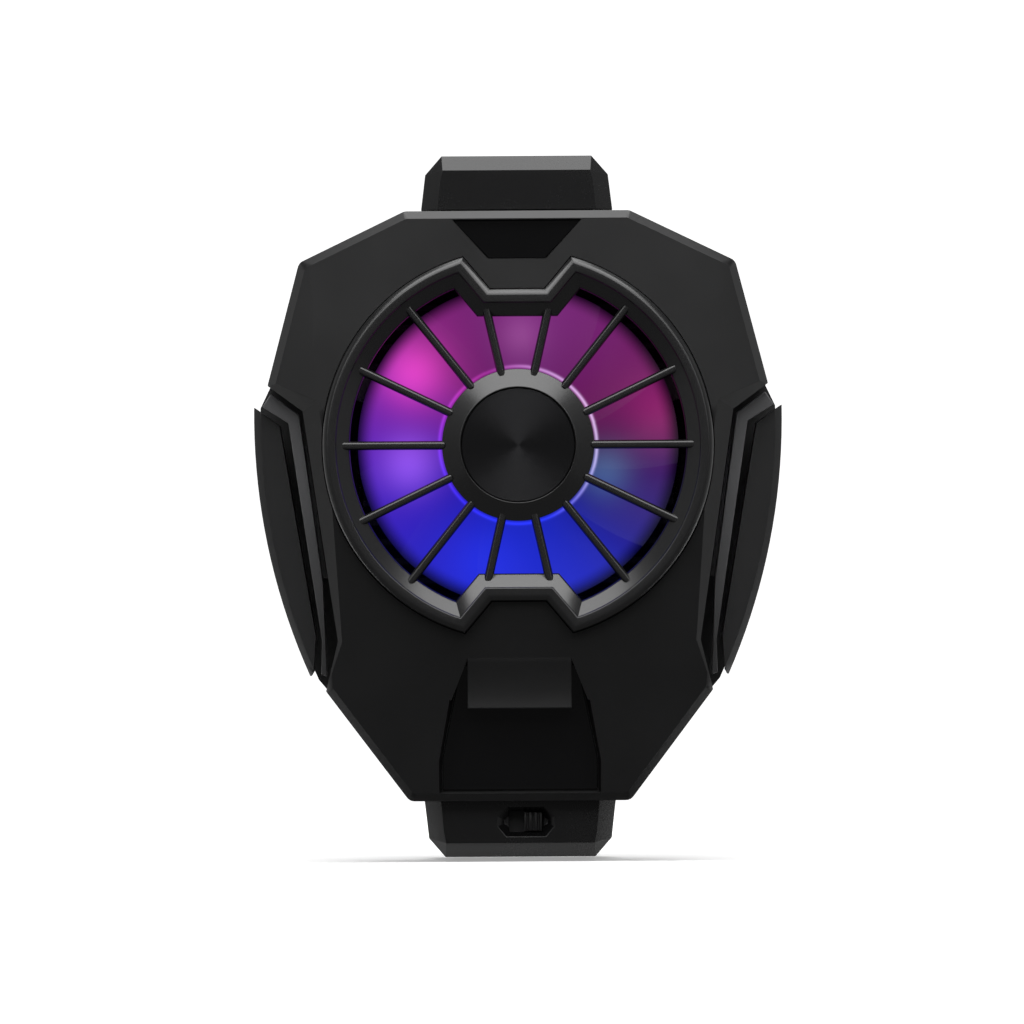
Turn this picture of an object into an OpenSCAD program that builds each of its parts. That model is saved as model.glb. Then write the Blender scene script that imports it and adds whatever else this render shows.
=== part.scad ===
// Clip-on phone cooling fan with a lit impeller, a cold plate and a sprung upper jaw.
// Every piece is drawn as seen from the front: u to the right, v up, d towards the viewer.
// The phone's back lies at depth 0, and the fan axis is at u = 0, v = 0. Sizes in millimetres.

/* [Main size] */
// Radius of the vent throat, which the body follows
throat_r = 17.8; // [16.5:0.1:19.5]

/* [Body outline] */
// Vent throat up to the body's top edge
top_rise = 7.0; // [5.8:0.1:9]
// Half width of the top edge
top_half = 11.9; // [10.5:0.1:14]
// Vent throat out to the shoulders
shoulder_out = 5.3; // [4.2:0.1:6.7]
// Vent throat up to the shoulders
shoulder_rise = 1.6; // [0.8:0.1:3.2]
// Vent throat out to the widest part of the cover
side_out = 8.7; // [8.2:0.1:10]
// Height of the widest part above the fan axis
side_v = 6.4; // [5.5:0.1:8]
// Vent throat out to the inner corner of the wing recess
recess_out = 5.0; // [4.6:0.1:5.6]
// Height of that corner above the fan axis
recess_v = 3.7; // [2.5:0.1:4.5]
// Vent throat out to the waist, the lower end of the wing recess
waist_out = 1.4; // [1:0.1:2.1]
// Vent throat down to the waist
waist_drop = 2.9; // [1.4:0.1:4]
// Vent throat out to the hips, below the waist
hip_out = 2.7; // [2.3:0.1:4]
// Vent throat down to the hips
hip_drop = 8.2; // [7.4:0.1:9.6]
// Half width of the bottom edge
bottom_half = 11.7; // [10.4:0.1:13]
// Vent throat down to the body's bottom edge
bottom_drop = 19.9; // [19.3:0.1:22]
// Radius of the outline's corners
corner_r = 1.0; // [0.4:0.1:1.4]

/* [Cover] */
// Slope of the upper front, degrees
upper_rake = 3.5; // [1:0.1:4.5]
// Slope of the lower front, degrees
lower_rake = 4.5; // [1:0.1:5.5]
// Slope of the side facets, degrees
side_rake = 12; // [4:0.5:18]
// Half height of the flat belt across the middle
belt_half = 4; // [2:0.1:8]
// Vent throat out to where the side facets start
facet_out = 3.7; // [3.2:0.1:4.6]
// Bevel along the cover's rim
rim_bevel = 0.8; // [0.3:0.1:1.2]
// Side wall
wall = 1.6; // [1.2:0.1:2]
// Front wall
front_wall = 2.0; // [1.6:0.1:2.4]
// Where the front and rear covers meet, in front of the phone
parting_d = 8.0; // [7:0.1:9]
// Exhaust slots in each side
slot_count = 7; // [3:1:9]
// Slot width
slot_w = 1.3; // [0.8:0.1:1.8]
// Slot length along the depth
slot_len = 5.0; // [3:0.1:5.5]

/* [Rear cover] */
// How far the rear face lies behind the pad face
back_set = 0.6; // [0.3:0.1:1]
// Rear wall
back_wall = 1.8; // [1.4:0.1:2.4]
// Inset of the wing flanges from the wings
flange_inset = 0.5; // [0.2:0.1:1]

/* [Vent and guard] */
// How far each lug reaches in from the throat
lug_reach = 4.2; // [3.2:0.1:5]
// Half width of that flat
lug_half = 4.25; // [3:0.05:5]
// Slope of the lug sides, degrees
lug_angle = 50; // [40:1:60]
// Width of the bevel between lip and throat
throat_bevel = 1.5; // [0.8:0.1:1.9]
// Throat to the crest of the lip
lip_crest = 2.2; // [2:0.1:2.4]
// Throat to the outside of the lip
lip_out = 2.9; // [2.7:0.1:3.2]
// Height of the lip above the middle of the cover
lip_proud = 0.8; // [0.3:0.1:1.5]
// Ledge that holds the guard behind the cover
ledge_w = 1.0; // [0.6:0.1:1.2]
// Thickness of that ledge
ledge_t = 0.8; // [0.6:0.1:1]
// Depth of the ledge's seat below the middle of the cover
seat_drop = 2.4; // [2.2:0.1:2.7]
// Spokes
spoke_count = 14; // [8:2:20]
// Spoke width
spoke_w = 0.95; // [0.6:0.05:1.4]
// Spoke thickness
spoke_t = 1.4; // [0.8:0.1:1.6]
// How far the spokes run into the lip
spoke_over = 1.2; // [0.8:0.1:1.5]
// Radius of the hub ring
hub_ring_r = 8.05; // [7:0.05:9]
// Radius of the cap in the hub ring
hub_cap_r = 6.0; // [4:0.1:6.6]
// Height of the hub ring above the spokes
hub_proud = 0.7; // [0.2:0.1:1.2]
// Cap thickness
hub_cap_t = 0.9; // [0.5:0.1:1.2]
// Recess of the cap below the hub ring
hub_cap_drop = 0.25; // [0:0.05:0.5]

/* [Pockets and hood] */
// Half width of the top pocket at its upper edge
pocket_top_half = 6.9; // [5:0.1:8]
// Half width at its lower edge
pocket_low_half = 3.1; // [2:0.1:3.6]
// Upper edge of the top pocket below the body's top
pocket_rim = 0.9; // [0.85:0.05:1.5]
// Height of the top pocket
pocket_h = 4.2; // [3:0.1:4.6]
// Depth of the top pocket
pocket_depth = 1.2; // [0.7:0.1:1.3]
// Thickness of both inlays
inlay_t = 0.4; // [0.2:0.1:0.5]
// Vent throat down to the channel's upper end
channel_drop = 5.1; // [4.9:0.1:5.7]
// Half width of the channel at its upper end
channel_top_half = 6.2; // [5.6:0.1:7]
// Half width at its lower end
channel_low_half = 8.3; // [7.5:0.1:9]
// Height of the channel's straight lower part
channel_straight = 3.4; // [2:0.1:5]
// Lower end of the channel above the body's bottom edge
channel_rim = 1.1; // [1:0.1:1.8]
// Depth of the channel
channel_depth = 3.0; // [2:0.1:3.6]
// Draft of the channel walls
channel_draft = 0.5; // [0.2:0.1:0.8]
// Wall round the channel
channel_wall = 1.2; // [1:0.1:1.6]
// Half width of the hood
hood_half = 5.55; // [4.5:0.05:5.7]
// Length of the hood
hood_len = 4.8; // [3:0.1:7]
// Rise of the hood's free end above the cover
hood_rise = 0.5; // [0:0.1:1]

/* [Wings and trims] */
// Vent throat out to the wings' outer edge
wing_out = 10.2; // [9.8:0.1:11.2]
// Radius of the wings' outer curve
wing_r = 67.6; // [60:0.2:80]
// Height where the wings are widest
wing_mid_v = 3.0; // [1:0.1:5]
// Depth of the wings' front face
wing_front_d = 17.2; // [16:0.1:18]
// Depth of the wings' rear edge
wing_back_d = 7.4; // [6:0.1:9]
// Bevel on the wings' front edge
wing_bevel = 0.7; // [0.3:0.1:1]
// Width of the slot between wing and trim
wing_gap = 0.5; // [0.3:0.05:0.8]
// Width of the slot between trim and cover
trim_gap = 0.35; // [0.3:0.05:0.6]
// Trim width at its upper end
trim_top_w = 1.35; // [1:0.05:1.6]
// Bend of the trims above the waist
trim_bend = 6.2; // [4:0.1:9]
// Trim width at its lower end
trim_low_w = 0.5; // [0.4:0.05:0.8]
// Depth of the trims' front face
trim_front_d = 19.0; // [18:0.1:20]
// Height of the trims
trim_h = 4.0; // [3:0.1:4.5]
// Thickness of the trims' foot
trim_foot_t = 1.0; // [0.6:0.1:1.5]
// Upper wing post in from the wing's edge
post_in = 1.9; // [1.6:0.1:2.2]
// Lower wing post in from the wing's widest edge
post_low_in = 4.5; // [4.2:0.1:4.8]
// Upper wing post below the fan axis
post_drop = 2.5; // [1:0.1:5]
// Radius of the wing posts
post_r = 1.2; // [0.9:0.1:1.4]
// Radius of the pins below the posts
pin_r = 0.8; // [0.5:0.1:0.9]

/* [Jaws] */
// Half width of the jaws beside the body
jaw_half = 10.15; // [9.8:0.05:11.5]
// Half width at the corner cuts
jaw_corner_half = 9.7; // [9:0.05:9.8]
// Half width of the outer edge
jaw_edge_half = 7.95; // [7.5:0.05:8.8]
// Height of the corner cuts
jaw_cut = 2.0; // [1:0.1:2.4]
// Height of the upper jaw
upper_jaw_h = 5.7; // [5.3:0.1:8]
// Height of the lower jaw
lower_jaw_h = 6.0; // [5.8:0.1:8]
// Slot between body and upper jaw when shut
jaw_gap = 0.2; // [0.15:0.05:0.6]
// Depth of the jaws' front face
jaw_front_d = 16.5; // [15.8:0.1:17.5]
// Bevel on the jaws' front
jaw_bevel = 1.6; // [0.8:0.1:2]
// Wall of the jaws
jaw_wall = 1.6; // [1.3:0.1:2]
// Thickness of the finger that reaches over the phone's edge
finger_t = 2.4; // [1.8:0.1:2.8]
// Thickest phone that fits
phone_t = 9.5; // [8:0.1:12]
// Thickness of the finger tips
tip_t = 1.5; // [1.2:0.1:2.5]
// How far the tips reach past the pad
tip_reach = 1.7; // [1:0.1:2.2]
// Thickness of the jaw pads
jaw_pad_t = 1.0; // [0.6:0.1:1.4]
// Half width of the jaw pads
jaw_pad_half = 8.4; // [6:0.1:9]
// Travel of the upper jaw
jaw_travel = 14; // [6:0.5:14]

/* [Sliding arm and springs] */
// Half width of the arm
arm_half = 8.0; // [7:0.1:8.5]
// Arm thickness
arm_t = 2.4; // [1.8:0.1:2.6]
// Springs to the ends of the arm's tail
tail_over = 1.2; // [1:0.05:1.4]
// Height of the tail's bar
tail_h = 3.3; // [2.8:0.1:3.4]
// Thickness of the tail's bar
tail_t = 1.0; // [0.8:0.1:1.2]
// Half width of the guide slot in the arm
guide_half = 2.5; // [2:0.1:3]
// Length of the guide rib
guide_len = 2.4; // [1.6:0.1:2.6]
// How far the keeper plate laps over each side of the slot
keeper_lap = 1.5; // [0.8:0.1:3]
// Keeper plate thickness
keeper_t = 0.8; // [0.5:0.1:1]
// Running clearance of the arm
arm_clear = 0.15; // [0.1:0.05:0.2]
// Springs inside the throat's radius
spring_in = 2.0; // [1.9:0.05:2.1]
// Spring coil radius, outside
spring_r = 1.2; // [0.9:0.05:1.25]
// Spring wire
spring_wire = 0.4; // [0.3:0.05:0.5]
// Lower spring posts inside the throat's radius
spring_post_in = 0.8; // [0:0.1:2.8]
// Radius of the spring posts
spring_post_r = 0.7; // [0.5:0.05:0.75]

/* [Cooling stack] */
// Contact pad thickness
pad_t = 0.8; // [0.4:0.1:1.2]
// Cold plate width
plate_w = 26; // [24:0.5:26.5]
// Cold plate height
plate_h = 24; // [22:0.5:24.5]
// Corner radius of plate and pad
plate_r = 2.0; // [1:0.1:3]
// Vent throat down to the plate's lower edge
plate_drop = 2.5; // [2.2:0.1:3]
// Flange round the cold plate
plate_flange = 1.3; // [0.8:0.1:1.3]
// Flange thickness
plate_flange_t = 1.0; // [0.6:0.1:1.4]
// Side of the Peltier module
peltier = 20; // [16:0.5:20.4]
// Thickness of each ceramic face
ceramic_t = 0.7; // [0.5:0.1:1]
// Height of the pellets
pellet_h = 1.6; // [1.2:0.1:2]
// Pellets along each side
pellet_count = 6; // [4:1:8]
// Pellet side
pellet_w = 1.4; // [1:0.1:1.8]
// Heat sink's sides inside the throat's radius
sink_side_in = 1.3; // [1.1:0.1:2.8]
// Heat sink's top inside the throat's radius
sink_top_in = 0.8; // [0.3:0.1:2.8]
// Heat sink's lower edge beyond the throat's radius
sink_low_out = 1.0; // [0.7:0.1:1.1]
// Heat sink base thickness
sink_base_t = 1.6; // [1.2:0.1:2.2]
// Fin height
fin_h = 4.8; // [4.2:0.1:6]
// Fin thickness
fin_t = 0.6; // [0.4:0.1:0.9]
// Fins
fin_count = 18; // [10:1:20]

/* [Fan] */
// Gap between fins and fan frame
fan_gap = 0.2; // [0.1:0.1:0.6]
// Fan base thickness
fan_base_t = 1.0; // [0.8:0.1:1.4]
// Radius of the motor base
base_r = 7.0; // [6.6:0.1:7.4]
// Width of the fan frame arms
fan_arm_w = 2.6; // [1.8:0.1:3.4]
// Fan frame ring thickness
ring_t = 1.2; // [0.8:0.1:1.4]
// Gap between base and blades
blade_gap = 0.6; // [0.4:0.1:1]
// Depth of the blades along the axis
blade_h = 5.0; // [4:0.1:6]
// Blade thickness
blade_t = 0.8; // [0.6:0.05:1]
// Blades
blade_count = 11; // [7:1:13]
// Angle that each blade spans, degrees
blade_span = 36; // [24:1:44]
// Sweep of the blade tips, degrees
blade_sweep = 14; // [0:1:24]
// Gap between blade tips and throat
tip_gap = 0.8; // [0.5:0.1:1.2]
// Hub radius
hub_r = 7.9; // [7.5:0.05:8.2]
// Hub wall
hub_wall = 0.8; // [0.6:0.05:0.9]
// Height of the hub's face above the blades
hub_face = 0.5; // [0.2:0.1:0.8]
// Gap between hub and guard
guard_gap = 0.8; // [0.5:0.1:1.4]
// Guard hub's back to the middle of the cover
guard_depth = 1.7; // [1.5:0.1:2]
// Yoke wall
yoke_t = 0.45; // [0.3:0.05:0.6]
// Magnet ring wall
magnet_t = 0.95; // [0.6:0.05:1.1]
// Air gap between magnet and stator
air_gap = 0.35; // [0.3:0.05:0.5]
// Stator poles
pole_count = 6; // [4:2:6]
// Stator stack height
stator_h = 2.4; // [1.8:0.1:2.8]
// Shaft radius
shaft_r = 0.75; // [0.6:0.05:0.9]
// Bearing radius
bearing_r = 2.1; // [1.8:0.1:2.2]
// Clearance of the shaft in its bearing
shaft_clear = 0.03; // [0.01:0.01:0.08]
// Motor board thickness
motor_board_t = 0.7; // [0.5:0.1:0.8]
// Fan screws outside the throat
ear_out = 3.2; // [2.8:0.1:3.4]

/* [Lamps] */
// Lamp board thickness
lamp_board_t = 0.8; // [0.6:0.1:1]
// Lamp height
lamp_h = 0.7; // [0.5:0.1:0.9]
// Lamp width
lamp_w = 1.6; // [1.2:0.1:2.2]
// Lamps
lamp_count = 12; // [6:1:16]

/* [Boards, socket and switch] */
// Board thickness
board_t = 1.0; // [0.8:0.1:1.2]
// Board height in front of the rear wall
board_lift = 7.2; // [6.8:0.1:7.8]
// Half width of the main board
board_half = 10.2; // [9.6:0.1:10.4]
// Vent throat down to the board's upper edge
board_drop = 5.6; // [5.2:0.1:6.6]
// Controller chip side
chip_w = 5.0; // [3:0.5:6]
// Controller chip height
chip_h = 0.9; // [0.6:0.1:1.2]
// Coil side
coil_w = 4.0; // [3:0.5:4.5]
// Coil height
coil_h = 2.2; // [1.2:0.1:2.6]
// Capacitor radius
cap_r = 2.0; // [1.5:0.1:2.2]
// Capacitor height
cap_h = 2.6; // [1.6:0.1:3]
// Diode length
diode_l = 3.6; // [2.6:0.1:4]
// Diode width
diode_w = 1.6; // [1:0.1:1.8]
// Diode height
diode_h = 1.2; // [0.8:0.1:1.4]
// Length of the small parts on the board
small_part_l = 1.6; // [1:0.1:2]
// Width of the small parts on the board
small_part_w = 0.8; // [0.5:0.1:1]
// Height of the small parts on the board
small_part_h = 0.7; // [0.4:0.1:0.9]
// Space between parts on the board
part_space = 1.6; // [1.2:0.1:1.8]
// Half width of the board's tongue
tongue_half = 5.6; // [5:0.1:5.8]
// Socket shell width
socket_w = 8.94; // [8.94:0.01:9.2]
// Socket shell thickness
socket_t = 3.16; // [3.16:0.01:3.3]
// Socket length
socket_len = 7.3; // [6.8:0.1:7.6]
// Back wall of the socket
socket_back = 1.35; // [0.8:0.05:1.6]
// Width of the socket's tongue
contact_w = 6.7; // [6.5:0.05:6.8]
// Thickness of the socket's tongue
contact_t = 0.7; // [0.65:0.05:0.75]
// Recess of the tongue in the socket
contact_drop = 0.8; // [0.5:0.1:1.2]
// Socket wall
socket_wall = 0.3; // [0.2:0.05:0.35]
// Recess of the socket's mouth below the jaw
socket_drop = 0.5; // [0.2:0.1:0.8]
// Switch place from the middle of the jaw
switch_u = 0.6; // [-1:0.1:1]
// Switch height above the lower edge of the jaw
switch_rise = 3.75; // [3.5:0.05:3.9]
// Length of the bevelled recess
switch_len = 6.0; // [5.6:0.1:7]
// Height of the bevelled recess
switch_high = 3.2; // [3:0.1:3.6]
// Depth of the bevelled recess
switch_depth = 0.8; // [0.4:0.1:1]
// Knob length
knob_len = 1.9; // [1.5:0.1:2]
// Knob height
knob_high = 2.0; // [1.6:0.1:2.2]
// Knob travel
knob_travel = 1.5; // [1:0.1:1.6]
// Clearance round the knob
knob_clear = 0.1; // [0.06:0.02:0.16]
// Switch body length
switch_body_len = 8.2; // [7.6:0.1:9]
// Switch body height
switch_body_h = 3.4; // [3:0.1:3.8]
// Spacing of the switch's pins
switch_pitch = 2.0; // [1.5:0.1:2.5]
// Width of the switch's pins
switch_pin_w = 0.5; // [0.3:0.05:0.6]
// Switch body thickness
switch_body_t = 3.4; // [3:0.1:3.6]

/* [Screws and fits] */
// Case screw shank radius
case_screw_r = 1.0; // [0.8:0.05:1.1]
// Case screw head radius
case_head_r = 1.8; // [1.5:0.05:1.9]
// Small screw shank radius
small_screw_r = 0.7; // [0.6:0.05:0.8]
// Small screw head radius
small_head_r = 1.4; // [1.2:0.05:1.5]
// Screw head height
head_h = 0.8; // [0.6:0.1:0.9]
// How far the case screws reach past the parting line
case_bite = 4.5; // [3:0.1:5]
// How far small screws reach into their bosses
screw_bite = 3.0; // [2:0.1:3.2]
// How far the clamp screws reach into the cold plate
clamp_bite = 0.6; // [0.4:0.1:0.8]
// Screw holes beyond the screws' ends
hole_over = 1.0; // [0.5:0.1:1.5]
// Case screws in from the shoulders
case_in = 2.8; // [2.7:0.1:3.2]
// Upper case screws below the shoulders
case_drop = 4.2; // [3.8:0.1:6]
// Lower case screws in from the hips
case_low_in = 7.1; // [6.4:0.1:7.6]
// Lower case screws below the hips
case_low_drop = 3.0; // [2.4:0.1:3.4]
// Boss radius of the case screws
boss_r = 2.2; // [2.1:0.05:2.3]
// Clearance of seated pieces
fit = 0.1; // [0.05:0.01:0.15]
// Clearance of screws in their holes
screw_clear = 0.08; // [0.04:0.01:0.12]

/* [Hidden] */
$fn = 48;

far = 60;
// Outline and places that follow the vent throat
top_v = throat_r + top_rise;
shoulder_half = throat_r + shoulder_out;
shoulder_v = throat_r + shoulder_rise;
side_half = throat_r + side_out;
recess_half = throat_r + recess_out;
waist_half = throat_r + waist_out;
waist_v = throat_r + waist_drop;
hip_half = throat_r + hip_out;
hip_v = throat_r + hip_drop;
bottom_v = throat_r + bottom_drop;
facet_u = throat_r + facet_out;
lug_v = throat_r - lug_reach;
spoke_reach = throat_r + spoke_over;
channel_v = throat_r + channel_drop;
wing_half = throat_r + wing_out;
trim_bend_v = waist_v - trim_bend;
spring_u = throat_r - spring_in;
spring_post_v = throat_r - spring_post_in;
tail_half = spring_u + tail_over;
plate_v = throat_r + plate_drop - plate_h / 2;
sink_w = 2 * (throat_r - sink_side_in);
sink_top = throat_r - sink_top_in;
sink_low = throat_r + sink_low_out;
ear_r = throat_r + ear_out;
board_v = throat_r + board_drop;
// Depths of the stack, from the phone forwards
floor_d = back_set + back_wall;
peltier_d = floor_d + plate_flange_t;
pellet_d = peltier_d + ceramic_t;
hot_d = pellet_d + pellet_h;
sink_d = hot_d + ceramic_t;
fin_d = sink_d + sink_base_t;
fan_d = fin_d + fin_h + fan_gap;
base_d = fan_d + fan_base_t;
blade_d = base_d + blade_gap;
blade_top_d = blade_d + blade_h;
hub_top_d = blade_top_d + hub_face;
guard_back_d = hub_top_d + guard_gap;
crest_d = guard_back_d + guard_depth;
lip_d = crest_d + lip_proud;
seat_d = crest_d - seat_drop;
ledge_d = seat_d - ledge_t;
lamp_board_d = ledge_d - fit - lamp_board_t;
lamp_d = lamp_board_d - lamp_h;
ring_top_d = lamp_d - fit;
spoke_d = crest_d - spoke_t;
ring_r = throat_r + 0.2;
rotor_r = throat_r - tip_gap;
board_d = floor_d + board_lift;

// Places of screws and pins
case_spots = [for (s = [1, -1]) each [[s * (shoulder_half - case_in), shoulder_v - case_drop],
                                     [s * (hip_half - case_low_in), -hip_v - case_low_drop]]];
ear_angles = [20, 160, 270];
clamp_spots = [for (u = [-1, 1], v = [-1, 1])
  [u * (plate_w / 2 - small_screw_r), v * (plate_h / 2 - 2 * small_head_r - 0.2) - plate_v]];
board_spots = [for (s = [1, -1]) [s * (board_half - small_head_r - 0.6), -board_v - small_head_r - 0.8]];
jaw_screw_u = jaw_corner_half - jaw_wall - 1.1;
jaw_screw_d = floor_d + 2.1;
wing_spots = [[wing_half - post_in, -post_drop], [wing_half - post_low_in, -spring_post_v]];

// The lower halves of the jaws
jaw_top = top_v + jaw_gap + upper_jaw_h;
jaw_low = bottom_v + lower_jaw_h;
upper_seat_v = jaw_top - finger_t;
lower_seat_v = jaw_low - finger_t;
tail_v = plate_h / 2 + plate_flange - plate_v + 0.3;
arm_d = floor_d + arm_clear;
arm_top_d = arm_d + arm_t;

// Right half of each outline, from the bottom up
hull_half = [[bottom_half, -bottom_v], [hip_half, -hip_v], [side_half, side_v], [shoulder_half, shoulder_v],
             [top_half, top_v]];
core_half = [[bottom_half, -bottom_v], [hip_half, -hip_v], [waist_half, -waist_v], [recess_half, recess_v],
             [side_half, side_v], [shoulder_half, shoulder_v], [top_half, top_v]];

// Closed outline from its right half, counter-clockwise
function both_sides(half) = concat(half, [for (i = [len(half) - 1:-1:0]) [-half[i][0], half[i][1]]]);

// Left-hand unit normal of the line from a to b
function left_of(a, b) = let(d = b - a) [-d[1], d[0]] / norm(d);

// Counter-clockwise outline with every side moved inwards, corners mitred
function inset(loop, by) = [
  for (i = [0:len(loop) - 1])
    let(n = len(loop), p = loop[i], a = left_of(loop[(i + n - 1) % n], p), b = left_of(p, loop[(i + 1) % n]))
      p + by * (a + b) / (1 + a * b)
];

// Outline with its outer corners rounded in short steps
function rounded(loop, r) = [
  for (i = [0:len(loop) - 1])
    let(n = len(loop), p = loop[i], a = left_of(loop[(i + n - 1) % n], p), b = left_of(p, loop[(i + 1) % n]),
        turn = a[0] * b[1] - a[1] * b[0], middle = p + r * (a + b) / (1 + a * b),
        from = atan2(-a[1], -a[0]), sweep = asin(turn))
      each turn > 0.05
        ? [for (k = [0:4]) middle + r * [cos(from + sweep * k / 4), sin(from + sweep * k / 4)]]
        : [p]
];

// Depth of the cover's front at a point
function front_at(p) = crest_d - max(0, p[1] - belt_half) * tan(upper_rake)
  - max(0, -p[1] - belt_half) * tan(lower_rake) - max(0, abs(p[0]) - facet_u) * tan(side_rake);

// Half width of the wing recess at a height
function recess_at(v) = recess_half + (v - recess_v) * (recess_half - waist_half) / (recess_v + waist_v);

// Point on a line between two points, at a given u
function at_u(a, b, u) = a + (b - a) * (u - a[0]) / (b[0] - a[0]);

// Points raised to one depth
function lifted(loop, d) = [for (p = loop) [p[0], p[1], d]];

// Triangles across one ring, from pairs of facing points
function cap_faces(from, n, flip) = [
  for (i = [0:n / 2 - 2], t = [0, 1])
    let(a = from + i, b = from + i + 1, c = from + n - 2 - i, d = from + n - 1 - i,
        tri = t == 0 ? [a, b, c] : [a, c, d])
      flip ? [tri[2], tri[1], tri[0]] : tri
];

// Faces of a closed skin over rings of equal, even length
function skin_faces(rings, n) = concat(
  cap_faces(0, n, true),
  [for (k = [0:rings - 2], i = [0:n - 1], t = [0, 1])
    let(a = k * n + i, b = k * n + (i + 1) % n)
      t == 0 ? [a, b, b + n] : [a, b + n, a + n]],
  cap_faces((rings - 1) * n, n, false)
);

// Closed skin over a list of rings
module skin(rings) {
  polyhedron(points = [for (r = rings) each r], faces = skin_faces(len(rings), len(rings[0])), convexity = 6);
}

// Convex block through all the points
module block_through(points) {
  hull()
    polyhedron(points = points, faces = [for (i = [0:len(points) - 3]) [i, i + 1, i + 2]]);
}

// Slab of a flat shape between two depths
module slab(from, to) {
  translate([0, 0, from])
    linear_extrude(height = to - from)
      children();
}

// Turns the front view upright: v becomes z, d becomes -y
module upright() {
  rotate([90, 0, 0])
    children();
}

// Child and its mirror image
module mirrored() {
  children();
  mirror([1, 0, 0])
    children();
}

// Rectangle with rounded corners
module round_rect(w, h, r) {
  union() {
    square([w - 2 * r, h], center = true);
    square([w, h - 2 * r], center = true);
    for (x = [-1, 1], y = [-1, 1])
      translate([x * (w / 2 - r), y * (h / 2 - r)])
        circle(r);
  }
}

// Screw with its head's top at the origin, shank towards the viewer
module screw(head_r, shank_r, length) {
  difference() {
    cylinder(r = head_r, h = head_h);
    translate([0, 0, -fit])
      cylinder(r = head_r * 0.55, h = head_h * 0.6 + fit, $fn = 6);
  }
  cylinder(r = shank_r, h = length);
}

// Lug that reaches into the vent; a larger grow makes it smaller
module lug(grow) {
  half = lug_half - grow * tan(lug_angle / 2);
  reach = throat_r;
  out = half + reach * cos(lug_angle);
  high = lug_v + grow + reach * sin(lug_angle);
  polygon([[-half, lug_v + grow], [half, lug_v + grow], [out, high], [-out, high]]);
}

// Vent outline: a circle with two lugs
module vent(grow) {
  difference() {
    circle(throat_r + grow);
    lug(grow);
    mirror([0, 1])
      lug(grow);
  }
}

// Vent opening that widens from one depth to another
module vent_funnel(grow_from, from, grow_to, to) {
  thin = 0.01;
  difference() {
    translate([0, 0, from])
      cylinder(r1 = throat_r + grow_from, r2 = throat_r + grow_to, h = to - from);
    for (side = [0, 1])
      mirror([0, side, 0])
        hull() {
          slab(from - thin, from)
            lug(grow_from);
          slab(to, to + thin)
            lug(grow_to);
        }
  }
}

// Solid front of the body before it is hollowed, lowered by a wall
module front_block(drop) {
  sharp = inset(both_sides(hull_half), rim_bevel);
  loop = rounded(both_sides(hull_half), corner_r);
  face = rounded(sharp, corner_r * 0.7);
  ridge = at_u(sharp[3], sharp[4], facet_u);
  rim = [for (p = loop) [p[0], p[1], front_at(p) - rim_bevel]];
  top = [for (p = face) [p[0], p[1], front_at(p)]];
  belt = [for (s = [-1, 1], v = [-1, 1]) [s * facet_u, v * belt_half, crest_d]];
  ridges = [for (s = [-1, 1]) [s * ridge[0], ridge[1], front_at([0, ridge[1]])]];
  translate([0, 0, -drop])
    block_through(concat(lifted(loop, parting_d), rim, top, belt, ridges));
}

// Wing recess on the right, as a flat shape moved inwards by a bevel
function recess_loop(by) = inset([
  [recess_half, recess_v],
  [waist_half, -waist_v],
  [hip_half, -hip_v],
  [far, -hip_v],
  [far, recess_v + (far - recess_half) * (side_v - recess_v) / (side_half - recess_half)]
], -by);

// Right wing recess cut through the front cover, with a bevelled edge
module recess_cut() {
  slab(parting_d - 1, crest_d + 1)
    polygon(recess_loop(0));
  block_through(concat(lifted(recess_loop(0), crest_d - 2.2 * rim_bevel),
                       lifted(recess_loop(2.2 * rim_bevel), crest_d)));
}

// Outline of the top pocket
module pocket(grow) {
  high = top_v - pocket_rim + grow;
  low = top_v - pocket_rim - pocket_h - grow;
  polygon([[-pocket_low_half - grow, low], [pocket_low_half + grow, low],
           [pocket_top_half + grow, high], [-pocket_top_half - grow, high]]);
}
pocket_floor_d = front_at([0, top_v - pocket_rim - pocket_h / 2]) - pocket_depth;

// Outline of the channel below the vent
function channel_loop(grow) = let(high = -channel_v + grow, low = channel_rim - bottom_v - grow) [
  [-channel_low_half - grow, low], [channel_low_half + grow, low],
  [channel_low_half + grow, low + channel_straight], [channel_top_half + grow, high],
  [-channel_top_half - grow, high], [-channel_low_half - grow, low + channel_straight]
];
channel_floor_d = front_at([0, -(channel_v + bottom_v - channel_rim) / 2]) - channel_depth;

// Exhaust slots through the right side wall
module side_slots() {
  for (i = [0:slot_count - 1]) {
    v = recess_v - 2.6 - i * (recess_v + waist_v - 5.2) / (slot_count - 1);
    translate([recess_at(v) - wall, v - slot_w / 2, parting_d + 1])
      cube([far, slot_w, slot_len]);
    translate([recess_at(v) - 2 * wall, v - slot_w / 2, parting_d + 1])
      cube([2 * wall, slot_w, slot_len]);
  }
}

// Hole through the bottom wall for the board's tongue and the socket
module bottom_port() {
  translate([-tongue_half - 0.4, -bottom_v - 1, board_d - socket_t - 0.4])
    cube([2 * tongue_half + 0.8, wall + 2, socket_t + board_t + 0.8]);
}

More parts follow.
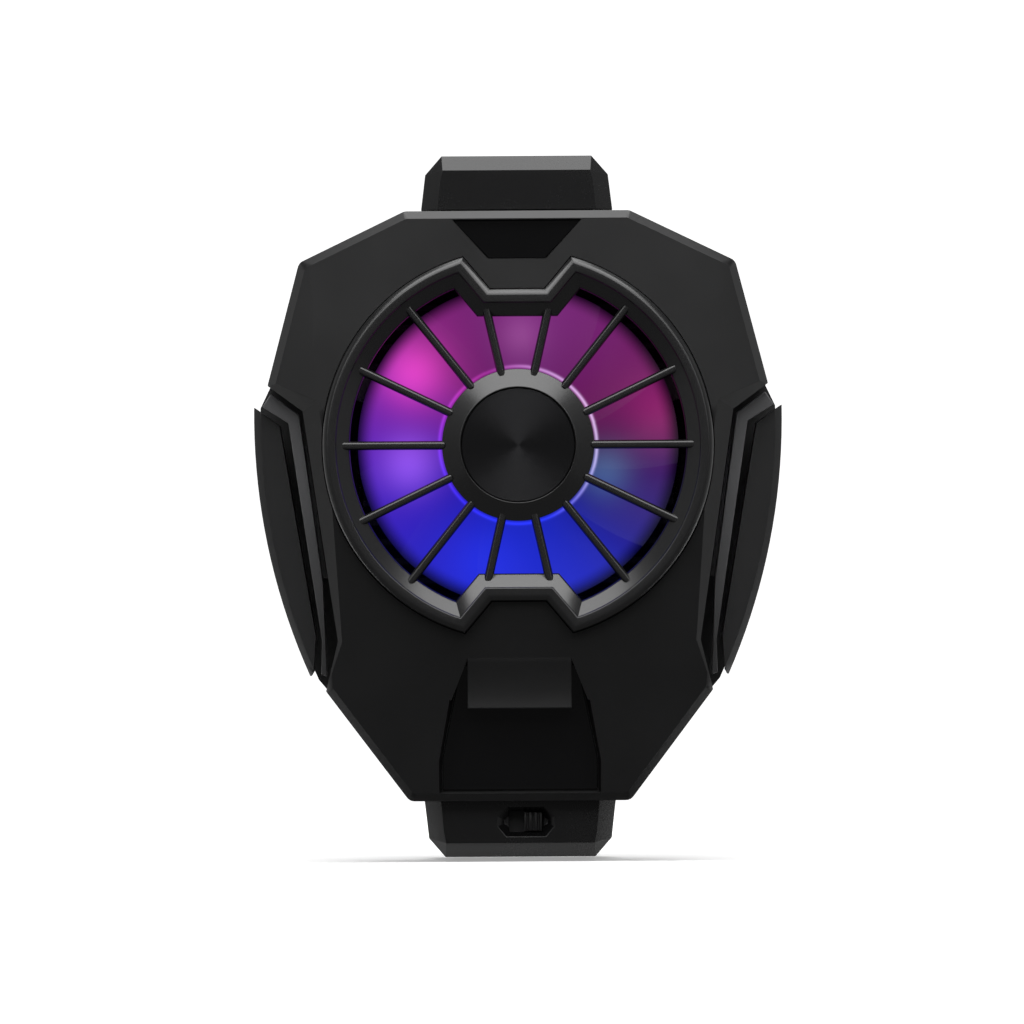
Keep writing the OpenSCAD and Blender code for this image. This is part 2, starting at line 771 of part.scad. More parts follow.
module front_cover() {
  color([0.11, 0.11, 0.12])
    upright()
      difference() {
        union() {
          difference() {
            front_block(0);
            intersection() {
              slab(parting_d - 1, far)
                polygon(inset(both_sides(core_half), wall));
              front_block(front_wall);
            }
          }
          intersection() {
            front_block(front_wall / 2);
            union() {
              for (p = case_spots)
                translate([p[0], p[1], parting_d])
                  cylinder(r = boss_r, h = far);
              for (a = ear_angles)
                translate([ear_r * cos(a), ear_r * sin(a), base_d])
                  cylinder(r = 1.7, h = far);
              slab(channel_floor_d - channel_wall, far)
                polygon(channel_loop(channel_draft + channel_wall));
            }
          }
        }
        mirrored()
          recess_cut();
        mirrored()
          side_slots();
        slab(parting_d - 1, far)
          vent(lip_out + fit);
        slab(parting_d + 4, seat_d)
          vent(lip_out + ledge_w + fit);
        slab(pocket_floor_d, far)
          pocket(0);
        block_through(concat(lifted(channel_loop(0), channel_floor_d),
                             lifted(channel_loop(channel_draft), front_at([0, -channel_v]) + 1)));
        for (p = case_spots)
          translate([p[0], p[1], parting_d - 1])
            cylinder(r = case_screw_r - screw_clear, h = 1 + case_bite + hole_over);
        for (a = ear_angles)
          translate([ear_r * cos(a), ear_r * sin(a), base_d - 1])
            cylinder(r = small_screw_r - screw_clear, h = 1 + screw_bite + hole_over);
        bottom_port();
      }
}

module fan_guard() {
  color([0.1, 0.1, 0.11])
    upright() {
      difference() {
        union() {
          slab(seat_d, crest_d - 0.4)
            vent(lip_out);
          vent_funnel(lip_out, crest_d - 0.4, lip_crest, lip_d);
          slab(ledge_d, seat_d)
            vent(lip_out + ledge_w);
        }
        slab(ledge_d - 1, spoke_d + 0.3)
          vent(0);
        vent_funnel(0, spoke_d + 0.3 - fit, throat_bevel, lip_d - 0.25);
        slab(lip_d - 0.25 - fit, lip_d + 1)
          vent(throat_bevel);
      }
      intersection() {
        slab(spoke_d, crest_d)
          vent(spoke_reach - throat_r);
        for (i = [0:spoke_count - 1])
          rotate([0, 0, i * 360 / spoke_count])
            translate([hub_cap_r + 0.6, 0, spoke_d])
              slab(0, spoke_t)
                union() {
                  translate([0, -spoke_w / 2])
                    square([spoke_reach - hub_cap_r - 0.6, spoke_w]);
                  circle(spoke_w / 2);
                }
      }
      difference() {
        union() {
          translate([0, 0, guard_back_d])
            cylinder(r = hub_ring_r, h = crest_d - guard_back_d - 0.3);
          translate([0, 0, crest_d - 0.3])
            cylinder(r1 = hub_ring_r, r2 = hub_cap_r + 0.25, h = hub_proud + 0.3);
        }
        translate([0, 0, crest_d + hub_proud - hub_cap_drop - hub_cap_t])
          cylinder(r = hub_cap_r + fit, h = far);
      }
    }
}

module hub_cap() {
  color([0.16, 0.16, 0.17])
    upright()
      translate([0, 0, crest_d + hub_proud - hub_cap_drop - hub_cap_t])
        cylinder(r = hub_cap_r, h = hub_cap_t);
}

module top_inlay() {
  color([0.02, 0.02, 0.02])
    upright()
      slab(pocket_floor_d, pocket_floor_d + inlay_t)
        pocket(-fit);
}

hood_high = -channel_v - fit;
hood_low = hood_high - hood_len;

// Half width of the channel's floor at a height
function channel_at(v) = channel_low_half
  + max(0, v - channel_rim + bottom_v - channel_straight) * (channel_top_half - channel_low_half)
    / (bottom_v - channel_rim - channel_straight - channel_v);

module channel_inlay() {
  low = channel_rim - bottom_v + fit;
  high = hood_low + 0.5;
  color([0.02, 0.02, 0.02])
    upright()
      slab(channel_floor_d, channel_floor_d + inlay_t)
        polygon([
          [-channel_low_half + fit, low], [channel_low_half - fit, low],
          [channel_low_half - fit, low + channel_straight - fit], [channel_at(high) - fit, high],
          [-channel_at(high) + fit, high], [-channel_low_half + fit, low + channel_straight - fit]
        ]);
}

module hood() {
  half = min(hood_half, channel_top_half - 0.5);
  lip = front_at([0, hood_low]) + hood_rise;
  root = front_at([0, hood_high]);
  color([0.12, 0.12, 0.13])
    upright()
      block_through([for (s = [-1, 1]) each [
        [s * half, hood_high, channel_floor_d], [s * half, hood_low + 0.6, channel_floor_d],
        [s * half, hood_high, root], [s * half, hood_low, lip], [s * half, hood_low, lip - 0.7]
      ]]);
}

// Inner edge of the wing on the right, from the top down
wing_inner = [
  [recess_half + trim_gap + trim_top_w + wing_gap, recess_v - 1.5],
  [recess_at(-waist_v + 0.5) + 1.2 + trim_gap + wing_gap, -waist_v + 0.5],
  [hip_half + 1.35, 1.6 - hip_v]
];

// Right wing seen from the front, pulled in by a margin
module wing_shape(margin) {
  intersection() {
    translate([wing_half - wing_r, wing_mid_v])
      circle(wing_r - margin, $fn = 200);
    polygon([
      wing_inner[0], wing_inner[1], wing_inner[2],
      [far, wing_inner[2][1]],
      [far, recess_v + 1.9 + (far - wing_half) * 0.6],
      [wing_half, recess_v + 0.45]
    ]);
  }
}

module right_wing() {
  upright()
    difference() {
      union() {
        slab(wing_back_d, wing_front_d - wing_bevel)
          wing_shape(0);
        intersection() {
          translate([wing_half - wing_r, wing_mid_v, wing_front_d - wing_bevel])
            cylinder(r1 = wing_r, r2 = wing_r - wing_bevel, h = wing_bevel, $fn = 200);
          slab(wing_back_d, wing_front_d)
            wing_shape(-1);
        }
        for (p = wing_spots) {
          translate([p[0], p[1], floor_d])
            cylinder(r = post_r, h = wing_back_d - floor_d + 1);
          translate([p[0], p[1], floor_d - back_wall + 0.6])
            cylinder(r = pin_r, h = back_wall);
        }
      }
    }
}

module wing_right() {
  color([0.15, 0.15, 0.16])
    right_wing();
}

module wing_left() {
  color([0.15, 0.15, 0.16])
    mirror([1, 0, 0])
      right_wing();
}

// Edges of the right trim, from the top down
trim_inner = [
  [recess_half + trim_gap, recess_v - 0.1],
  [recess_at(-trim_bend_v) + trim_gap + 0.3, -trim_bend_v],
  [hip_half - 0.1, 1.6 - hip_v]
];

module right_trim() {
  slope = (side_v - recess_v) / (side_half - recess_half);
  end_u = side_half - 0.3;
  foot_v = 0.5 - trim_bend_v;
  upright() {
    slab(trim_front_d - trim_h, trim_front_d)
      polygon([
        trim_inner[0], trim_inner[1], trim_inner[2],
        [hip_half + 0.5, 1.8 - hip_v],
        [trim_inner[2][0] + trim_low_w, -waist_v],
        [trim_inner[0][0] + trim_top_w, recess_v - 1.25],
        [end_u + 0.9, recess_v + (end_u - recess_half) * slope - 2.0],
        [end_u, recess_v + (end_u - recess_half) * slope - 0.45]
      ]);
    slab(trim_front_d - trim_h, trim_front_d - trim_h + trim_foot_t)
      polygon([
        [recess_at(0) + fit, 0], [recess_at(foot_v) + fit, foot_v],
        [recess_at(foot_v) + trim_gap + 0.5, foot_v], [recess_at(0) + trim_gap + 0.6, 0]
      ]);
  }
}

module trim_right() {
  color([0.28, 0.28, 0.29])
    right_trim();
}

module trim_left() {
  color([0.28, 0.28, 0.29])
    mirror([1, 0, 0])
      right_trim();
}

// Flange of the rear cover below the right wing
module wing_flange() {
  intersection() {
    translate([wing_half - wing_r, wing_mid_v])
      circle(wing_r - flange_inset, $fn = 200);
    polygon([
      [0, -hip_v], [hip_half, -hip_v], [wing_inner[2][0], wing_inner[2][1]], [far, wing_inner[2][1]],
      [far, recess_v + 0.4], [wing_half - flange_inset, recess_v + 0.4], [side_half - 0.1, side_v],
      [0, side_v]
    ]);
  }
}

module rear_cover() {
  inner = inset(both_sides(core_half), wall);
  color([0.09, 0.09, 0.1])
    upright()
      difference() {
        union() {
          slab(back_set, floor_d)
            union() {
              polygon(rounded(both_sides(core_half), corner_r));
              mirrored()
                wing_flange();
            }
          slab(back_set, parting_d)
            difference() {
              polygon(rounded(both_sides(core_half), corner_r));
              polygon(inner);
            }
          for (p = case_spots)
            translate([p[0], p[1], back_set])
              cylinder(r = boss_r, h = parting_d - back_set);
          for (p = board_spots)
            translate([p[0], p[1], back_set])
              cylinder(r = 1.6, h = board_d - back_set);
          for (s = [-1, 1])
            translate([s * spring_u, -spring_post_v, back_set])
              cylinder(r = spring_post_r, h = floor_d - back_set + 3.2);
          translate([-guide_half + arm_clear, top_v - wall - guide_len, back_set])
            cube([2 * (guide_half - arm_clear), guide_len + wall / 2, arm_top_d + arm_clear - back_set]);
        }
        slab(back_set - 1, floor_d + 1)
          translate([0, -plate_v])
            round_rect(plate_w + 2 * fit, plate_h + 2 * fit, plate_r + fit);
        for (p = case_spots) {
          translate([p[0], p[1], back_set - 1])
            cylinder(r = case_screw_r + screw_clear, h = far);
          translate([p[0], p[1], back_set - 1])
            cylinder(r = case_head_r + 0.2, h = 1 + head_h + 0.5);
        }
        for (p = board_spots)
          translate([p[0], p[1], board_d - screw_bite - hole_over])
            cylinder(r = small_screw_r - screw_clear, h = far);
        for (p = wing_spots, s = [-1, 1])
          translate([s * p[0], p[1], floor_d - back_wall + 0.6 - fit])
            cylinder(r = pin_r + fit / 2, h = far);
        difference() {
          translate([-arm_half - arm_clear, top_v - 2 * wall, floor_d])
            cube([2 * (arm_half + arm_clear), 3 * wall, arm_t + 2 * arm_clear]);
          translate([-guide_half + arm_clear, top_v - wall - guide_len, floor_d - 1])
            cube([2 * (guide_half - arm_clear), guide_len + fit, far]);
        }
        translate([0, keeper_v, floor_d])
          cylinder(r = small_screw_r - screw_clear, h = far);
        bottom_port();
        for (s = [-1, 1])
          translate([s * jaw_screw_u, -bottom_v - 1, jaw_screw_d])
            rotate([-90, 0, 0])
              cylinder(r = small_screw_r + screw_clear, h = wall + 2);
      }
}

// Jaw outline from the body outwards, on the right
function jaw_loop(near, edge) = let(s = sign(edge)) [
  [jaw_half, near], [jaw_corner_half, edge - s * jaw_cut], [jaw_edge_half, edge],
  [-jaw_edge_half, edge], [-jaw_corner_half, edge - s * jaw_cut], [-jaw_half, near]
];

// Solid jaw with a bevelled front, from the tip behind the phone to the front face
module jaw_block(near, edge) {
  loop = jaw_loop(near, edge);
  s = sign(edge);
  face = jaw_face(near, edge - s * jaw_bevel * 0.95);
  block_through(concat(lifted(loop, -phone_t - tip_t), lifted(loop, jaw_front_d - jaw_bevel),
                       lifted(face, jaw_front_d)));
}

// Front face of a jaw inside its bevels
function jaw_face(near, edge) = let(s = sign(edge)) [
  [jaw_half - jaw_bevel * 1.1, near], [jaw_corner_half - jaw_bevel, edge - s * jaw_cut * 0.6],
  [jaw_edge_half - 0.1, edge],
  [-jaw_edge_half + 0.1, edge], [-jaw_corner_half + jaw_bevel, edge - s * jaw_cut * 0.6],
  [-jaw_half + jaw_bevel * 1.1, near]
];

module upper_jaw() {
  low = top_v + jaw_gap;
  slot_low = tail_v + 0.8;
  color([0.12, 0.12, 0.13])
    upright()
      union() {
        difference() {
          jaw_block(low, jaw_top);
          translate([-far, low - 1, -phone_t])
            cube([2 * far, upper_seat_v - low + 1, phone_t]);
          translate([-far, low - 1, -far])
            cube([2 * far, upper_seat_v - jaw_pad_t - tip_reach - low + 1, far - phone_t + fit]);
          translate([-jaw_corner_half + jaw_wall, low - 1, arm_top_d + 1])
            cube([2 * (jaw_corner_half - jaw_wall), jaw_top - low - jaw_wall + 1,
                  jaw_front_d - 2 * jaw_wall - arm_top_d]);
        }
        difference() {
          union() {
            translate([-arm_half, tail_v, arm_d])
              cube([2 * arm_half, low - tail_v + 2, arm_t]);
            mirrored()
              slab(arm_d, arm_d + tail_t)
                polygon([[0, tail_v], [tail_half, tail_v], [tail_half, tail_v + 1.0],
                         [arm_half + 4, tail_v + tail_h], [0, tail_v + tail_h]]);
            for (s = [-1, 1])
              translate([s * spring_u, tail_v + 0.75, arm_d])
                cylinder(r = spring_post_r, h = 3.1);
          }
          translate([-guide_half, slot_low, arm_d - 1])
            cube([2 * guide_half, low - slot_low - 0.4, arm_t + 2]);
        }
      }
}

// Pad on a jaw, seated at one height, thickness towards the phone
module jaw_pad(seat, way) {
  difference() {
    translate([-jaw_pad_half, min(seat, seat + way * jaw_pad_t), -phone_t + fit])
      cube([2 * jaw_pad_half, jaw_pad_t, phone_t - 0.6]);
    for (i = [0:2])
      translate([-far, seat + way * (jaw_pad_t + 0.1) - 0.4, -phone_t + 2.2 + i * 2.2])
        cube([2 * far, 0.8, 0.6]);
  }
}

module upper_jaw_pad() {
  color([0.2, 0.2, 0.21])
    upright()
      jaw_pad(upper_seat_v, -1);
}

module lower_jaw_pad() {
  color([0.2, 0.2, 0.21])
    upright()
      jaw_pad(-lower_seat_v, 1);
}

switch_v = switch_rise - jaw_low;
socket_v = socket_drop - jaw_low;
knob_rest_u = switch_u + knob_travel / 2;

// Bevelled recess round the switch
function switch_loop(grow) = let(l = switch_len / 2 + grow, h = switch_high / 2 + grow, c = 0.9) [
  [l - c, -h], [l, -h + c * 1.2], [l, h - c * 1.2], [l - c, h],
  [-l + c, h], [-l, h - c * 1.2], [-l, -h + c * 1.2], [-l + c, -h]
];

// Slot that the knob slides in, forwards from one depth
module knob_slot(from) {
  long = knob_len + knob_travel + 2 * knob_clear;
  high = knob_high + 2 * knob_clear;
  translate([switch_u - long / 2, switch_v - high / 2, from])
    cube([long, high, far]);
}

module lower_jaw() {
  near = -bottom_v;
  hollow_half = jaw_corner_half - jaw_wall;
  color([0.1, 0.1, 0.11])
    upright()
      difference() {
        union() {
          difference() {
            jaw_block(near, -jaw_low);
            translate([-far, -lower_seat_v, -phone_t])
              cube([2 * far, far, phone_t]);
            translate([-far, -lower_seat_v + jaw_pad_t + tip_reach, -far])
              cube([2 * far, far, far - phone_t + fit]);
            translate([-hollow_half, jaw_wall - jaw_low, jaw_wall])
              cube([2 * hollow_half, far, jaw_front_d - 2 * jaw_wall]);
          }
          for (s = [-1, 1])
            translate([s * jaw_screw_u, jaw_wall / 2 - jaw_low, jaw_screw_d])
              rotate([-90, 0, 0])
                cylinder(r = 1.6, h = lower_jaw_h - jaw_wall / 2);
        }
        for (s = [-1, 1])
          translate([s * jaw_screw_u, near - screw_bite - hole_over, jaw_screw_d])
            rotate([-90, 0, 0])
              cylinder(r = small_screw_r - screw_clear, h = screw_bite + hole_over + 1);
        translate([0, -jaw_low - 1, board_d - socket_t / 2])
          rotate([-90, 0, 0])
            linear_extrude(height = jaw_wall + 2)
              round_rect(socket_w + 2 * fit, socket_t + 2 * fit, socket_t / 2 + fit - 0.01);
        translate([switch_u, switch_v, 0])
          block_through(concat(lifted(switch_loop(-0.7), jaw_front_d - switch_depth),
                               lifted(switch_loop(0), jaw_front_d),
                               lifted(switch_loop(0), jaw_front_d + 0.1)));
        knob_slot(jaw_front_d - 2 * jaw_wall);
      }
}

module spring(side) {
  low = -spring_post_v;
  high = tail_v + 0.75;
  hook = spring_post_r + 0.25 + spring_wire / 2;
  color([0.6, 0.6, 0.62])
    upright()
      translate([side * spring_u, 0, arm_d + tail_t + 0.55])
        union() {
          translate([0, low + hook, 0])
            rotate([-90, 0, 0])
              difference() {
                cylinder(r = spring_r, h = high - low - 2 * hook);
                translate([0, 0, spring_wire])
                  cylinder(r = spring_r - spring_wire, h = high - low - 2 * hook - 2 * spring_wire);
              }
          for (v = [low, high])
            translate([0, v, 0])
              rotate_extrude()
                translate([hook, 0])
                  circle(spring_wire / 2);
        }
}

module spring_left() {
  spring(-1);
}

module spring_right() {
  spring(1);
}

keeper_d = arm_top_d + arm_clear;
keeper_v = top_v - wall - guide_len / 2;

module arm_keeper() {
  color([0.5, 0.5, 0.52])
    upright()
      difference() {
        translate([-guide_half - keeper_lap, keeper_v - guide_len / 2 + fit, keeper_d])
          cube([2 * (guide_half + keeper_lap), guide_len - 2 * fit, keeper_t]);
        translate([0, keeper_v, 0])
          cylinder(r = small_screw_r + screw_clear, h = far);
      }
}

module arm_screw() {
  color([0.5, 0.5, 0.52])
    upright()
      translate([0, keeper_v, keeper_d + keeper_t + head_h])
        mirror([0, 0, 1])
          screw(guide_len / 2 - fit, small_screw_r - screw_clear - 0.02, head_h + keeper_t + arm_t - 0.4);
}

module contact_pad() {
  color([0.55, 0.56, 0.58])
    upright()
      slab(0, pad_t)
        translate([0, -plate_v])
          round_rect(plate_w, plate_h, plate_r);
}

module cold_plate() {
  color([0.78, 0.79, 0.8])
    upright()
      difference() {
        union() {
          slab(pad_t, floor_d)
            translate([0, -plate_v])
              round_rect(plate_w, plate_h, plate_r);
          slab(floor_d, peltier_d)
            translate([0, -plate_v])
              round_rect(plate_w + 2 * plate_flange, plate_h + 2 * plate_flange, plate_r);
        }
        for (p = clamp_spots)
          translate([p[0], p[1], floor_d - clamp_bite - 0.2])
            cylinder(r = small_screw_r, h = far);
      }
}

module peltier_plate(from) {
  slab(from, from + ceramic_t)
    translate([0, -plate_v])
      square(peltier, center = true);
}

module peltier_cold_face() {
  color([0.95, 0.95, 0.93])
    upright()
      peltier_plate(peltier_d);
}

module peltier_hot_face() {
  color([0.95, 0.95, 0.93])
    upright()
      peltier_plate(hot_d);
}

module peltier_pellets() {
  pitch = peltier / pellet_count;
  color([0.3, 0.3, 0.33])
    upright()
      for (i = [0:pellet_count - 1], j = [0:pellet_count - 1])
        translate([(i + 0.5) * pitch - peltier / 2, (j + 0.5) * pitch - peltier / 2 - plate_v, pellet_d])
          translate([-pellet_w / 2, -pellet_w / 2, 0])
            cube([pellet_w, pellet_w, pellet_h]);
}

lead_u = 2.2;
lead_r = 0.45;

module foam_frame() {
  color([0.13, 0.13, 0.14])
    upright()
      difference() {
        slab(peltier_d, sink_d)
          difference() {
            translate([0, -plate_v])
              square([plate_w + 2 * plate_flange - 0.4, plate_h + 2 * plate_flange - 0.4], center = true);
            translate([0, -plate_v])
              square(peltier + 2 * fit, center = true);
          }
        for (p = clamp_spots)
          translate([p[0], p[1], 0])
            cylinder(r = small_screw_r + 0.2, h = far);
        translate([-lead_u - 1, -far - plate_v, pellet_d])
          cube([2 * lead_u + 2, far, pellet_h]);
      }
}

// Round wire along a path
module wire(path, r) {
  sides = 10;
  skin([for (i = [0:len(path) - 1])
    let(a = path[max(0, i - 1)], b = path[min(len(path) - 1, i + 1)], t = (b - a) / norm(b - a),
        x = [1, 0, 0], y = cross(x, t) / norm(cross(x, t)))
      [for (k = [0:sides - 1]) path[i] + r * (cos(k * 360 / sides) * x + sin(k * 360 / sides) * y)]]);
}

module peltier_leads() {
  start_v = -plate_v - peltier / 2 + 0.4;
  mid_d = pellet_d + pellet_h / 2;
  color([0.7, 0.1, 0.08])
    upright()
      for (s = [-1, 1])
        translate([s * lead_u, 0, 0])
          wire([[0, start_v, mid_d], [0, start_v - 3.8, mid_d], [0, start_v - 4.7, mid_d + 0.4],
                [0, start_v - 5.6, mid_d + 1.4], [0, -board_v - 1.2, board_d - 1.4],
                [0, -board_v - 1.3, board_d - fit]], lead_r);
}

module heat_sink() {
  step = (sink_top + sink_low - fin_t) / (fin_count - 1);
  color([0.72, 0.73, 0.75])
    upright()
      difference() {
        union() {
          translate([-sink_w / 2, -sink_low, sink_d])
            cube([sink_w, sink_top + sink_low, sink_base_t]);
          for (i = [0:fin_count - 1])
            translate([-sink_w / 2, i * step - sink_low, fin_d - 0.1])
              cube([sink_w, fin_t, fin_h + 0.1]);
        }
        for (p = clamp_spots) {
          translate([p[0], p[1], 0])
            cylinder(r = small_screw_r + screw_clear, h = far);
          translate([p[0], p[1], fin_d])
            cylinder(r = small_head_r + 0.4, h = far);
        }
      }
}

module clamp_screws() {
  color([0.5, 0.5, 0.52])
    upright()
      for (p = clamp_spots)
        translate([p[0], p[1], fin_d + head_h])
          mirror([0, 0, 1])
            screw(small_head_r, small_screw_r - 0.04, fin_d + head_h - floor_d + clamp_bite);
}

module fan_frame() {
  color([0.08, 0.08, 0.09])
    upright()
      difference() {
        union() {
          slab(fan_d, base_d)
            union() {
              circle(base_r);
              for (a = ear_angles)
                rotate(a)
                  translate([0, -fan_arm_w / 2])
                    square([ear_r, fan_arm_w]);
              for (a = ear_angles)
                translate([ear_r * cos(a), ear_r * sin(a)])
                  circle(1.8);
              difference() {
                circle(ring_r + ring_t);
                circle(ring_r);
              }
            }
          slab(fan_d, ring_top_d)
            difference() {
              circle(ring_r + ring_t);
              circle(ring_r);
            }
        }
        translate([0, 0, fan_d - 1])
          cylinder(r = bearing_r + fit / 2, h = far);
        for (a = ear_angles)
          translate([ear_r * cos(a), ear_r * sin(a), fan_d - 1])
            cylinder(r = small_screw_r + screw_clear, h = far);
        for (a = ear_angles)
          translate([ear_r * cos(a), ear_r * sin(a), base_d])
            cylinder(r = 1.7 + fit, h = far);
      }
}

motor_board_d = base_d;
stator_d = motor_board_d + motor_board_t + 0.4;
hub_skirt_d = motor_board_d + motor_board_t + 0.3;
yoke_r = hub_r - hub_wall;
magnet_r = yoke_r - yoke_t;
stator_r = magnet_r - magnet_t - air_gap;
bearing_top_d = stator_d + stator_h + 0.3;

module bearing() {
  color([0.7, 0.55, 0.3])
    upright()
      difference() {
        translate([0, 0, fan_d])
          cylinder(r = bearing_r, h = bearing_top_d - fan_d);
        translate([0, 0, fan_d - 1])
          cylinder(r = shaft_r + shaft_clear, h = far);
        translate([0, 0, fan_d - 1])
          cylinder(r = shaft_r + 0.75, h = 1 + 0.75);
      }
}

module stator_core() {
  color([0.4, 0.4, 0.42])
    upright()
      slab(stator_d, stator_d + stator_h)
        difference() {
          union() {
            circle(bearing_r + 0.9);
            for (i = [0:pole_count - 1])
              rotate(i * 360 / pole_count)
                translate([0, -0.45])
                  square([stator_r - 0.3, 0.9]);
            difference() {
              circle(stator_r);
              circle(stator_r - 0.7);
              for (i = [0:pole_count - 1])
                rotate((i + 0.5) * 360 / pole_count)
                  translate([0, -0.5])
                    square([far, 1.0]);
            }
          }
          circle(bearing_r + fit / 2);
        }
}

module stator_windings() {
  color([0.72, 0.38, 0.18])
    upright()
      for (i = [0:pole_count - 1])
        rotate([0, 0, i * 360 / pole_count])
          difference() {
            translate([bearing_r + 1.0, -0.75, stator_d - 0.3])
              cube([stator_r - bearing_r - 1.8, 1.5, stator_h + 0.6]);
            translate([0, -0.5, stator_d - 0.05])
              cube([far, 1.0, stator_h + 0.1]);
          }
}

module motor_board() {
  color([0.05, 0.3, 0.15])
    upright()
      slab(motor_board_d, motor_board_d + motor_board_t)
        difference() {
          circle(base_r - 0.4);
          circle(bearing_r + fit);
        }
}

// One blade: rings of points from root to tip
function blade_section(r, t) = let(cells = 8, lean = blade_sweep * t, span = blade_span * (1 + 0.15 * t)) [
  for (k = [0:2 * cells + 1])
    let(top = k <= cells, j = top ? k : 2 * cells + 1 - k, c = j / cells,
        a = lean + span * (c - 0.5), thick = blade_t * (0.35 + 0.65 * sqrt(max(0, 4 * c * (1 - c)))) / 2,
        mid = blade_top_d - blade_t / 2 - (blade_h - blade_t) * (c + 0.10 * sin(180 * c)) / 1.0)
      [r * cos(a), r * sin(a), max(blade_d, min(blade_top_d, mid + (top ? thick : -thick)))]
];

module impeller() {
  stations = 6;
  root = hub_r - hub_wall / 2;
  color([0.75, 0.35, 0.8])
    upright() {
      difference() {
        union() {
          difference() {
            translate([0, 0, hub_skirt_d])
              cylinder(r = hub_r, h = hub_top_d - hub_skirt_d);
            translate([0, 0, hub_skirt_d - 1])
              cylinder(r = yoke_r, h = hub_top_d - hub_wall - hub_skirt_d + 1);
          }
          translate([0, 0, bearing_top_d + 0.3])
            cylinder(r = 1.7, h = hub_top_d - hub_wall / 2 - bearing_top_d - 0.3);
        }
        translate([0, 0, bearing_top_d - 1])
          cylinder(r = shaft_r + 0.01, h = hub_top_d - bearing_top_d + 0.5);
      }
      for (i = [0:blade_count - 1])
        rotate([0, 0, i * 360 / blade_count])
          skin([for (s = [0:stations]) blade_section(root + (rotor_r - root) * s / stations, s / stations)]);
    }
}

module rotor_yoke() {
  color([0.55, 0.55, 0.57])
    upright()
      difference() {
        translate([0, 0, hub_skirt_d + 0.2])
          cylinder(r = yoke_r - 0.02, h = hub_top_d - hub_wall - hub_skirt_d - 0.4);
        translate([0, 0, hub_skirt_d - 1])
          cylinder(r = magnet_r, h = far);
      }
}

module magnet_ring() {
  color([0.2, 0.2, 0.21])
    upright()
      difference() {
        translate([0, 0, hub_skirt_d + 0.3])
          cylinder(r = magnet_r - 0.02, h = hub_top_d - hub_wall - hub_skirt_d - 0.8);
        translate([0, 0, hub_skirt_d - 1])
          cylinder(r = magnet_r - magnet_t, h = far);
      }
}

module shaft() {
  color([0.75, 0.75, 0.77])
    upright()
      difference() {
        translate([0, 0, fan_d + 0.15])
          cylinder(r = shaft_r, h = hub_top_d - 0.8 - fan_d);
        translate([0, 0, fan_d + 0.3])
          difference() {
            cylinder(r = shaft_r + 1, h = 0.3);
            translate([0, 0, -1])
              cylinder(r = shaft_r - 0.2, h = 3);
          }
      }
}

module shaft_clip() {
  color([0.85, 0.85, 0.85])
    upright()
      translate([0, 0, fan_d + 0.35])
        difference() {
          cylinder(r = shaft_r + 0.45, h = 0.2);
          translate([0, 0, -1])
            cylinder(r = shaft_r - 0.18, h = 3);
        }
}

module lamp_board() {
  color([0.05, 0.05, 0.06])
    upright()
      slab(lamp_board_d, lamp_board_d + lamp_board_t)
        difference() {
          circle(ring_r + ring_t);
          circle(ring_r);
        }
}

module lamps() {
  color([0.95, 0.95, 0.9])
    upright()
      for (i = [0:lamp_count - 1])
        rotate([0, 0, (i + 0.5) * 360 / lamp_count])
          translate([ring_r + 0.2, -lamp_w / 2, lamp_d])
            cube([0.9, lamp_w, lamp_h]);
}

module main_board() {
  low = wall + 0.4 - bottom_v;
  color([0.05, 0.3, 0.15])
    upright()
      difference() {
        slab(board_d, board_d + board_t)
          union() {
            translate([-board_half, low + 2])
              square([2 * board_half, -board_v - low - 2]);
            translate([-board_half + 1.6, low])
              square([2 * board_half - 3.2, 3]);
            translate([-tongue_half, jaw_wall + 0.4 - jaw_low])
              square([2 * tongue_half, low - jaw_wall + jaw_low]);
          }
        for (p = board_spots)
          translate([p[0], p[1], 0])
            cylinder(r = small_screw_r + screw_clear, h = far);
      }
}

module board_components() {
  top = board_d + board_t;
  row_v = -board_v - part_space;
  chip_low = row_v - chip_w;
  color([0.14, 0.14, 0.15])
    upright() {
      translate([-chip_w / 2, chip_low, top])
        cube([chip_w, chip_w, chip_h]);
      translate([-board_half + part_space, row_v - 2.2 * part_space - coil_w, top])
        cube([coil_w, coil_w, coil_h]);
      translate([board_half - cap_r - part_space, row_v - 4 * part_space, top])
        cylinder(r = cap_r, h = cap_h);
      translate([chip_w / 2 + part_space, row_v - part_space, top])
        cube([small_part_l, small_part_w, small_part_h]);
      translate([-chip_w / 2 - part_space - small_part_l, row_v - part_space, top])
        cube([small_part_l, small_part_w, small_part_h]);
      translate([(part_space - diode_l) / 2, chip_low - 0.6 * part_space - diode_w, top])
        cube([diode_l, diode_w, diode_h]);
    }
}

module board_screws() {
  color([0.5, 0.5, 0.52])
    upright()
      for (p = board_spots)
        translate([p[0], p[1], board_d + board_t + head_h])
          mirror([0, 0, 1])
            screw(small_head_r, small_screw_r - screw_clear - 0.02, head_h + board_t + screw_bite);
}

module usb_socket() {
  mouth_t = socket_t - 2 * socket_wall;
  color([0.7, 0.7, 0.72])
    upright()
      translate([0, socket_v, board_d - socket_t / 2])
        rotate([-90, 0, 0])
          difference() {
            linear_extrude(height = socket_len)
              round_rect(socket_w, socket_t, socket_t / 2 - 0.01);
            translate([0, 0, -1])
              linear_extrude(height = socket_len - socket_back + 1)
                round_rect(socket_w - 2 * socket_wall, mouth_t, mouth_t / 2 - 0.01);
          }
}

module usb_tongue() {
  color([0.08, 0.08, 0.09])
    upright()
      translate([-contact_w / 2, socket_v + contact_drop, board_d - socket_t / 2 - contact_t / 2])
        cube([contact_w, socket_len - socket_back - contact_drop, contact_t]);
}

